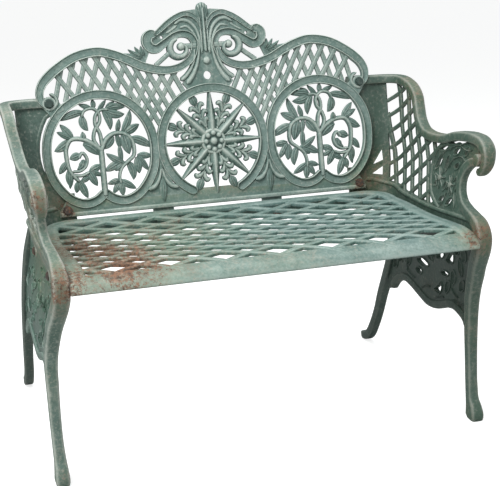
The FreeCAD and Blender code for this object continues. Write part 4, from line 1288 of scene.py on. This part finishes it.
@dataclass
class EndCasting:
    """One end frame: arm, pierced and latticed wall, rear flange, legs, feet and apron."""

    side: int
    finish: bpy.types.Material
    # apron_finish and rear_finish are copies of the paint darkened as painted shade.
    apron_finish: bpy.types.Material
    rear_finish: bpy.types.Material
    arm: tuple[tuple[float, float], ...] = (
        (-282, 530), (-300, 533), (-318, 552), (-318, 574), (-298, 589), (-262, 595), (-222, 594), (-180,
                                                                                                    589),
        (-138, 579), (-97, 576), (-58, 577), (-26, 584), (0, 602), (20, 630), (36, 653), (58, 668), (90, 678),
        (128, 683), (190, 684), (261, 684),
    )
    divider: tuple[tuple[float, float], ...] = (
        (-159, 573), (-124, 564), (-97, 549), (-84, 530), (-80, 508), (-84, 485), (-95, 462), (-121, 443),
        (-143, 433),
    )
    column_pitch: tuple[float, float] = (34.0, -22.0)
    row_pitch: tuple[float, float] = (12.0, 33.0)
    lattice_start: tuple[float, float] = (-6.0, 472.0)
    steep_bar: float = 11.0
    rising_bar: float = 9.6
    sill_above: float = 8.0
    sill_lift: float = 14.0
    front_limb: tuple[tuple[float, ...], ...] = (
        (440, -282, 549, 9.5, 9), (438, -258, 546, 9.5, 9), (433, -236, 530, 9, 10),
        (429, -224, 505, 9, 10), (427, -225, 482, 9, 10), (424, -240, 463, 9.5, 10),
        (420, -270, 450, 10.5, 11), (418, -303, 440, 12, 12), (417, -328, 428, 14.5, 14),
        (416, -340, 410, 16, 14), (416, -337, 390, 16.5, 14), (418, -323, 368, 16, 15),
        (422, -305, 345, 15.5, 15), (427, -289, 322, 15, 14.5), (431, -271, 292, 14, 14),
        (434, -259, 266, 13.5, 13.5), (436, -251, 230, 12.5, 12.5), (436, -249, 196, 12, 12),
        (436, -249, 130, 11, 11), (435, -253, 70, 11, 11), (434, -259, 40, 12, 12),
        (434, -266, 22, 13.5, 18), (434, -269, 9, 14, 20), (434, -268, 0.5, 12, 17),
    )
    rear_limb: tuple[tuple[float, ...], ...] = (
        (414, 118, 420, 10, 10), (424, 132, 368, 11.5, 11.5), (431, 142, 310, 12, 12),
        (434, 158, 258, 12.5, 12.5), (435, 190, 205, 12, 12), (435, 224, 150, 11.5, 11.5),
        (435, 252, 98, 11, 11), (434, 282, 52, 11, 11), (434, 300, 31, 11, 11.5),
        (434, 318, 18, 11, 11.5), (434, 338, 12, 10.5, 11), (434, 352, 10, 8.5, 9),
        (434, 360, 9, 5, 5),
    )
    flower_holes: tuple[tuple[tuple[float, float], tuple[float, float], float, float], ...] = (
        ((-238, 586), (-160, 574), 9, 0), ((-246, 572), (-226, 556), 10, 0), ((-206, 566), (-180, 553), 9, 0),
        ((-150, 566), (-112, 555), 12, 0), ((-160, 545), (-140, 512), 12, 0), ((-130, 545), (-98, 512), 13,
                                                                               0),
        ((-200, 505), (-180, 470), 9, 0), ((-196, 462), (-172, 446), 9, 0), ((-160, 460), (-138, 448), 9, 0),
        ((-128, 492), (-104, 478), 9, 0), ((-205, 535), (-186, 524), 8, 0), ((-158, 490), (-148, 474), 8, 0),
    )
    apron: tuple[tuple[float, float], ...] = (
        (-262, 408), (-300, 404), (-300, 350), (-262, 270), (-244, 215), (-226, 207), (-202, 214), (-176,
                                                                                                    217),
        (-150, 213), (-125, 205), (-98, 197), (-72, 193), (-46, 193), (-20, 199), (10, 207), (42, 215), (72,
                                                                                                         219),
        (100, 214), (126, 202), (168, 178), (176, 200), (158, 258), (142, 310), (132, 368), (122, 405),
    )
    apron_edge: tuple[tuple[float, float], ...] = (
        (-246, 190), (-232, 210), (-204, 222), (-176, 226), (-150, 222), (-125, 214), (-98, 206), (-72, 202),
        (-46, 202), (-20, 208), (10, 216), (42, 224), (72, 228), (102, 222), (130, 208), (150, 190),
    )
    apron_holes: tuple[tuple[tuple[float, float], tuple[float, float], float, float], ...] = (
        ((-262, 366), (-243, 338), 13, 0), ((-232, 362), (-214, 350), 9, 0), ((-228, 338), (-222, 302), 12,
                                                                              0),
        ((-232, 290), (-212, 268), 12, 0), ((-200, 352), (-160, 322), 13, -7), ((-190, 304), (-176, 274),
                                                                                13, 0),
        ((-150, 334), (-112, 318), 14, 4), ((-164, 272), (-142, 246), 11, 3), ((-120, 262), (-86, 240), 11,
                                                                               -8),
        ((-158, 290), (-124, 286), 7, 0), ((-56, 288), (0, 288), 12, 0), ((-20, 264), (10, 262), 10, 0),
        ((40, 290), (56, 264), 11, 0), ((84, 276), (106, 262), 9, 0), ((116, 262), (138, 240), 11, 0),
        ((-100, 340), (-62, 350), 13, 4), ((-40, 346), (0, 336), 13, -4), ((20, 340), (56, 350), 13, 4),
        ((76, 344), (108, 326), 13, 0), ((-84, 306), (-60, 318), 9, 0), ((14, 310), (36, 322), 9, 0),
        ((-250, 390), (-190, 384), 10, 0), ((-150, 384), (-90, 384), 10, 0), ((40, 384), (96, 384), 10, 0),
    )
    apron_open: float = 1.35
    hollow: float = 135.0

    def __post_init__(self) -> None:
        """Names the casting this end stands for."""
        self.word = "left" if self.side < 0 else "right"
        self.node = self.word + "_end"
        self.sheet = EndSheet(self.side)

    def start(self, name: str, sheet: Sheet | None = None) -> Carver:
        """A carver gathering one piece of this end."""
        return Carver(sheet or self.sheet, Shells(f"{self.word}_{name}"))

    def at_flange(self, x: float, z: float) -> tuple[float, float]:
        """Drawing coordinates of a place on the flange, given from the bench's middle plane."""
        around = self.sheet.corner * (math.pi / 2 - 2)
        return (float(self.sheet.flange(z) + self.sheet.wall(z)) + around - x, z)

    def limb(self, carver: Carver, stations: Points, cut: Section) -> None:
        """A bar of changing oval section through places in space, flat where it meets the ground.

        Ring k is the path's point plus across times the sideways half-width along X made square to
        the path, plus twice rise less one times the other half-width along the remaining axis.

        Args:
            carver: Gathers the skin.
            stations: (x, y, z, sideways half-width, other half-width).
            cut: The section.
        """
        line, _ = smooth_path(stations, 4.0)
        path = line[:, :3] * (self.side, 1, 1)
        tangent = np.gradient(path, axis=0)
        tangent /= np.linalg.norm(tangent, axis=1)[:, None]
        wide = np.array([1.0, 0, 0]) - tangent[:, :1] * tangent
        wide /= np.linalg.norm(wide, axis=1)[:, None]
        deep = np.cross(tangent, wide)
        u = np.asarray(cut.across)[None, :, None] * (wide * line[:, 3:4])[:, None]
        v = (2 * np.asarray(cut.rise) - 1)[None, :, None] * (deep * line[:, 4:5])[:, None]
        rings = path[:, None] + u + v
        rings[..., 2] = np.maximum(rings[..., 2], 0.2)
        carver.shells.tube(rings, np.broadcast_to(np.asarray(cut.raised), rings.shape[:2]))

    def leaf_loop(self, hole: tuple, grow: float = 0.0) -> Array:
        """Outline of a leaf-shaped opening: two bows from base to tip, moved outward by grow."""
        base, tip, wide, bow = np.asarray(hole[0], float), np.asarray(hole[1], float), hole[2], hole[3]
        run = tip - base
        length = np.linalg.norm(run)
        side = np.array([-run[1], run[0]]) / length
        share = np.linspace(0, 1, 8)[:, None]
        swell = 4 * share * (1 - share)
        grown = base + run * (share + (share - 0.5) * 2 * grow / length) + side * (bow * swell)
        half = side * (wide / 2 * swell + grow * 0.8)
        return np.concatenate([grown + half, (grown - half)[::-1]])

    def arm_rail(self) -> None:
        """Arm from its rolled front, over the sweep, round the corner and behind the back."""
        carver = self.start("arm_rail")
        wide = np.interp(np.arange(20), [0, 2, 5, 12, 19], [15, 20, 20, 19, 20])
        inward = np.interp(np.arange(20), [0, 1, 2, 3, 19], [-5, -8, -11.5, -12.5, -12.5])
        outward = np.interp(np.arange(20), [0, 1, 2, 3, 4, 7, 19], [5, 9, 13, 15, 15, 12.5, 12])
        carver.strip(self.arm, wide, CUSHION, inward, outward, step=4, blunt=(True, False))
        carver.boss((-297, 556), [(0.6, -16, 0.4), (10, -16, 0.5), (12.5, -14, 0.9), (12.5, 14, 0.9),
                                  (10, 16, 0.5),
                                  (0.6, 16, 0.4)])
        carver.strip(self.divider, 10, HALF_TUBE, -7, 7, step=4)
        carver.shells.build(self.finish, self.node)

    def edge(self, up: Array) -> Array:
        """Front edge of the flange: a straight line leaning back from the floor band to the arm rail."""
        return 112.0 + 0.23 * (np.asarray(up, float) - 450.0)

    def sill(self) -> Array:
        """Floor band's upper rail: a little above the seat's edge, lifting by a square law at the rear."""
        across = np.linspace(172.0, -300.0, 12)
        lift = self.sill_lift * np.maximum((across - 60.0) / 112.0, 0.0) ** 2
        return np.stack([across, SeatSheet().height(across) + self.sill_above + lift], -1)

    def lattice(self) -> None:
        """Slanting bars in two directions between divider and flange, cut to the opening they fill."""
        carver = self.start("side_lattice")
        levels = np.linspace(455, 672, 6)
        under_arm = [(128, 680), (90, 676), (58, 666), (36, 651), (20, 628), (0, 600), (-26, 582), (-58, 575),
                     (-97, 574), (-138, 577)]
        flange_edge = np.stack([self.edge(levels), levels], -1).tolist()
        region = np.array(list(self.divider[:-1]) + self.sill()[7:1:-1].tolist() + flange_edge + under_arm)
        column, row = np.array(self.column_pitch), np.array(self.row_pitch)
        steep = (row, column, self.steep_bar, 0.0)
        rising = (column, row, self.rising_bar, 0.5)
        along = np.linspace(-9, 9, 700)[:, None]
        for run, across, wide, lift in (steep, rising):
            for k in range(-9, 12):
                walk = np.array(self.lattice_start) + (k + 0.5) * across + along * run
                kept = inside(walk, region)
                edges = np.flatnonzero(np.diff(np.r_[0, kept.astype(int), 0]))
                for a, b in zip(edges[::2], edges[1::2]):
                    if b - a > 10:
                        deep = 3.8 + lift
                        carver.strip([walk[a], walk[b - 1]], wide, oval(12, 0.6), -deep, deep, step=9)
        carver.shells.build(self.finish, self.node)

    def flange(self) -> None:
        """Curved corner and flange behind the back, hollowed round the ring, with its bolt bosses."""
        carver = self.start("rear_flange")
        left = [(float(self.edge(z)), z) for z in (440, 500, 560, 620, 680)]
        hollow = arc(self.hollow, 42, -38, 8, (MEDAL_X, MEDAL_Z)).tolist()
        inner = [(334, 690), (334, 668)] + [p for p in hollow if 489 < p[1] < 667 and p[0] > 334]
        inner += [(345, 488), (316, 488), (316, 430), (334, 430), (334, 410)]
        right = [self.at_flange(x, z) for x, z in inner]
        outline = left + [(196, 690)] + right + [(112, 410)]
        corners = (((377, 489), (403, 524), (404, 500)), ((374, 470), (402, 486), (400, 466)))
        fans = [[self.at_flange(x, z) for x, z in fan] for fan in corners]
        carver.plate(outline, fans, -4, 4, 11)
        edge = [self.at_flange(x, z) for x, z in inner[1:-4]]
        carver.strip(edge, 9, oval(10, 0.8), -5.5, 5.5, step=4, straight=True)
        band = self.sill()
        under_band = [(a, z - 2) for a, z in band[::-1].tolist()]
        low = [(-338, 404), (-336, 418), (-312, 428)] + under_band + [(190, 450), (190, 404)]
        carver.plate(low, [], -5.5, 5.5, 12)
        carver.strip(band, 10, HALF_TUBE, -9.5, 9.5, step=5)
        back = Carver(BackSheet(), carver.shells)
        for x, z in ((354, 683), (336, 455)):
            back.boss((self.side * x, z), [(0.6, -22, 0.4), (10.5, -22, 0.5), (12, -20.5, 0.8),
                                           (12, -12.6, 0.4), (0.6, -12.6, 0.4)])
        angle = np.linspace(0, 2 * math.pi, 24, endpoint=False)
        for y in (-225.0, 0.0):
            x = np.array([403, 422.6, 424, 424])[:, None] + 0 * angle
            radius = np.array([13, 13, 11.6, 0.6])[:, None]
            rings = np.stack([self.side * x, y + radius * np.cos(angle), 400 + radius * np.sin(angle)], -1)
            carver.shells.tube(rings, np.broadcast_to([[0.4], [0.8], [0.6], [0.4]], x.shape))
        carver.shells.build(self.finish, self.node)

    def flower(self) -> None:
        """Pierced panel under the arm: leaves and two rosettes, carved on both faces."""
        carver = self.start("flower_panel")
        outline = [(-286, 552), (-284, 586), (-262, 592), (-222, 591), (-180, 586), (-138, 577)]
        outline += list(self.divider[1:-1]) + [(-140, 436), (-262, 436), (-268, 452), (-238, 465),
                                               (-223, 484),
                                               (-222, 503), (-232, 527), (-254, 545)]
        carver.plate(outline, [self.leaf_loop(h) for h in self.flower_holes], -3.2, 3.2, 10)
        for hole in self.flower_holes:
            carver.strip(self.leaf_loop(hole, 2.6), 4.4, oval(8, 0.9), -5.2, 5.2, step=3, looped=True)
        for middle, reach in (((-129, 496), 24), ((-180, 488), 21)):
            for k in range(7):
                turn = 2 * math.pi * k / 7 + 0.3
                tip = (middle[0] + reach * math.cos(turn), middle[1] + reach * math.sin(turn))
                carver.leaf(middle, tip, reach * 0.62, 0, -7, 7, cut=LENS, blunt=0.6)
            for out in (-1, 1):
                carver.boss(middle, [(0.6, out * 2, 0.3), (7, out * 2, 0.3), (6.5, out * 7, 0.8),
                                     (4, out * 9, 1), (0.4, out * 9.6, 1)], 14)
        for base, tip, wide, bow in (((-262, 572), (-214, 574), 13, -5), ((-214, 574), (-166, 560), 13, 4),
                                     ((-170, 562), (-118, 534), 14, 6), ((-236, 545), (-196, 548), 12, 5),
                                     ((-200, 548), (-158, 520), 14, 6), ((-212, 520), (-204, 478), 12, -5),
                                     ((-204, 474), (-214, 446), 10, 0), ((-168, 470), (-152, 440), 10, 0),
                                     ((-118, 478), (-100, 500), 9, 3)):
            carver.leaf(base, tip, wide, bow, -6.4, 6.4, cut=LENS)
        carver.shells.build(self.finish, self.node)

    def legs(self) -> None:
        """Front limb from the arm's roll to the foot, and the rear leg with its trailing foot."""
        carver = self.start("legs")
        self.limb(carver, self.front_limb, CUSHION)
        carver.shells.build(self.finish, self.node)
        # The rear leg takes the paint darkened as painted shade.
        rear = self.start("rear_leg")
        self.limb(rear, self.rear_limb, CUSHION)
        rear.shells.build(self.rear_finish, self.node)

    def apron_wall(self) -> None:
        """Pierced scrollwork between the legs with a thick wavy lower edge."""
        carver = self.start("apron", ApronSheet(self.side))
        holes = [(base, tip, wide * self.apron_open, bow) for base, tip, wide, bow in self.apron_holes]
        carver.plate(self.apron, [self.leaf_loop(hole) for hole in holes], -3.6, 3.6, 13)
        carver.strip(self.apron_edge, 18, SQUARE_ROUND, -9, 9, step=5)
        for hole in holes:
            carver.strip(self.leaf_loop(hole, 2.4), 4, oval(8, 0.9), -6.2, 6.2, step=4, looped=True)
        for base, tip, wide, bow in (((-230, 240), (-180, 240), 14, -5), ((-130, 232), (-90, 220), 12, 2),
                                     ((-60, 238), (-20, 226), 12, 3), ((20, 240), (60, 250), 14, -4),
                                     ((60, 250), (98, 286), 14, 6), ((100, 300), (120, 330), 13, 3),
                                     ((10, 362), (60, 326), 14, -5), ((-160, 368), (-110, 360), 12, 4),
                                     ((-20, 326), (14, 306), 12, 3), ((-96, 316), (-62, 330), 12, 3),
                                     ((-168, 262), (-200, 248), 11, 3), ((-262, 310), (-250, 262), 12, 3)):
            carver.leaf(base, tip, wide, bow, -7.4, 7.4, cut=LENS)
        # The apron takes the paint darkened as painted shade.
        carver.shells.build(self.apron_finish, self.node)

    def build(self) -> None:
        """Makes every piece of this end."""
        self.arm_rail()
        self.lattice()
        self.flange()
        self.flower()
        self.legs()
        self.apron_wall()


# ------------------------------------------------------------------ fasteners


@dataclass
class Fasteners:
    """The bolts, washers, nuts and screws that hold the castings together."""

    finish: bpy.types.Material
    painted: bpy.types.Material
    castings: tuple[str, ...] = ("back_panel", "seat_grille", "left_end", "right_end")

    def dress(self) -> None:
        """Puts the rusty finish on every fastener, and the back's paint on those painted over with it."""
        for name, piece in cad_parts.items():
            if name in self.castings:
                continue
            piece.data.materials.clear()
            piece.data.materials.append(self.painted if name.startswith("back_upper") else self.finish)
            log.info("%s dressed", name)


# ------------------------------------------------------------------ stage


@dataclass
class Stage:
    """Pale floor, soft studio light and the camera."""

    where: tuple[float, float, float] = (-0.6487, -2.3967, 0.9422)
    yaw: float = 0.2785
    pitch: float = 0.2268
    roll: float = -0.0442
    lens: float = 85.09

    def build(self) -> None:
        """Lays the floor, hangs the lights and sets the camera."""
        scene = bpy.context.scene
        scene.view_settings.view_transform = "Standard"
        world = bpy.data.worlds.new("studio")
        world.use_nodes = True
        graph = Graph(world.node_tree)
        ground = world.node_tree.nodes["Background"]
        ground.inputs["Color"].default_value = (0.97, 0.985, 1.0, 1)
        seen = graph.node("ShaderNodeLightPath").outputs["Is Camera Ray"]
        graph.link(graph.math("ADD", graph.math("MULTIPLY", seen, 0.65), 0.4), ground.inputs["Strength"])
        scene.world = world
        self.floor()
        self.lamp("key", (-2.0, -2.0, 3.2), (0, 0, 0.4), 1.8, 150)
        self.lamp("over", (0.2, 0.5, 3.4), (0, 0, 0.3), 2.4, 75)
        self.lamp("fill", (1.6, -3.2, 1.4), (0, 0, 0.5), 1.6, 14)
        self.camera()

    def floor(self) -> None:
        """A wide pale floor at ground level, lifted to near white where the camera sees it."""
        mesh = bpy.data.meshes.new("floor")
        mesh.from_pydata([(-60, -60, 0), (60, -60, 0), (60, 60, 0), (-60, 60, 0)], [], [(0, 1, 2, 3)])
        floor = bpy.data.objects.new("floor", mesh)
        bpy.context.scene.collection.objects.link(floor)
        material = bpy.data.materials.new("floor_paper")
        material.use_nodes = True
        graph = Graph(material.node_tree)
        shader = material.node_tree.nodes["Principled BSDF"]
        shader.inputs["Base Color"].default_value = (0.5, 0.51, 0.5, 1)
        shader.inputs["Roughness"].default_value = 0.95
        shader.inputs["Specular IOR Level"].default_value = 0.05
        shader.inputs["Emission Color"].default_value = (1, 1, 1, 1)
        seen = graph.node("ShaderNodeLightPath").outputs["Is Camera Ray"]
        graph.link(graph.math("MULTIPLY", seen, 0.74), shader.inputs["Emission Strength"])
        mesh.materials.append(material)

    def lamp(self, name: str, where: tuple, target: tuple, size: float, power: float) -> None:
        """A square soft light aimed at a point."""
        data = bpy.data.lights.new(name, "AREA")
        data.size, data.energy = size, power
        lamp = bpy.data.objects.new(name, data)
        lamp.location = where
        lamp.rotation_euler = (Vector(target) - Vector(where)).to_track_quat("-Z", "Y").to_euler()
        bpy.context.scene.collection.objects.link(lamp)

    def camera(self) -> None:
        """The camera, from its yaw, pitch and roll."""
        sy, cy = math.sin(self.yaw), math.cos(self.yaw)
        sp, cp = math.sin(self.pitch), math.cos(self.pitch)
        ahead = np.array([sy * cp, cy * cp, -sp])
        right = np.array([cy, -sy, 0.0])
        up = np.cross(right, ahead)
        c, s = math.cos(self.roll), math.sin(self.roll)
        columns = (c * right + s * up, -s * right + c * up, -ahead)
        rows = [[*(float(v[row]) for v in columns), self.where[row]] for row in range(3)]
        matrix = Matrix(rows + [[0, 0, 0, 1]])
        data = bpy.data.cameras.new("camera")
        data.lens, data.sensor_width, data.sensor_fit = self.lens, 36.0, "HORIZONTAL"
        camera = bpy.data.objects.new("camera", data)
        camera.matrix_world = matrix
        bpy.context.scene.collection.objects.link(camera)
        bpy.context.scene.camera = camera


def main() -> None:
    """Builds the bench, dresses the fasteners and sets the stage."""
    finishes = Finishes()
    # The rear legs take the paint darkened as painted shade.
    rear, painted = finishes.paint(Tone.REAR), finishes.paint(Tone.BACK)
    BackCasting(painted).build()
    SeatCasting(finishes.paint(Tone.SEAT)).build()
    # The right end and its apron take paint darkened as painted shade; the left apron takes a half-shaded
    # copy.
    for side, tone, apron in ((-1, Tone.END, Tone.OUTER), (1, Tone.SHADED, Tone.APRON)):
        EndCasting(side, finishes.paint(tone), finishes.paint(apron), rear).build()
    Fasteners(finishes.rusty_steel(), painted).dress()
    Stage().build()
    bpy.context.view_layer.update()


if __name__ == "__main__":
    logging.basicConfig(level=logging.INFO, format="%(message)s")
    main()
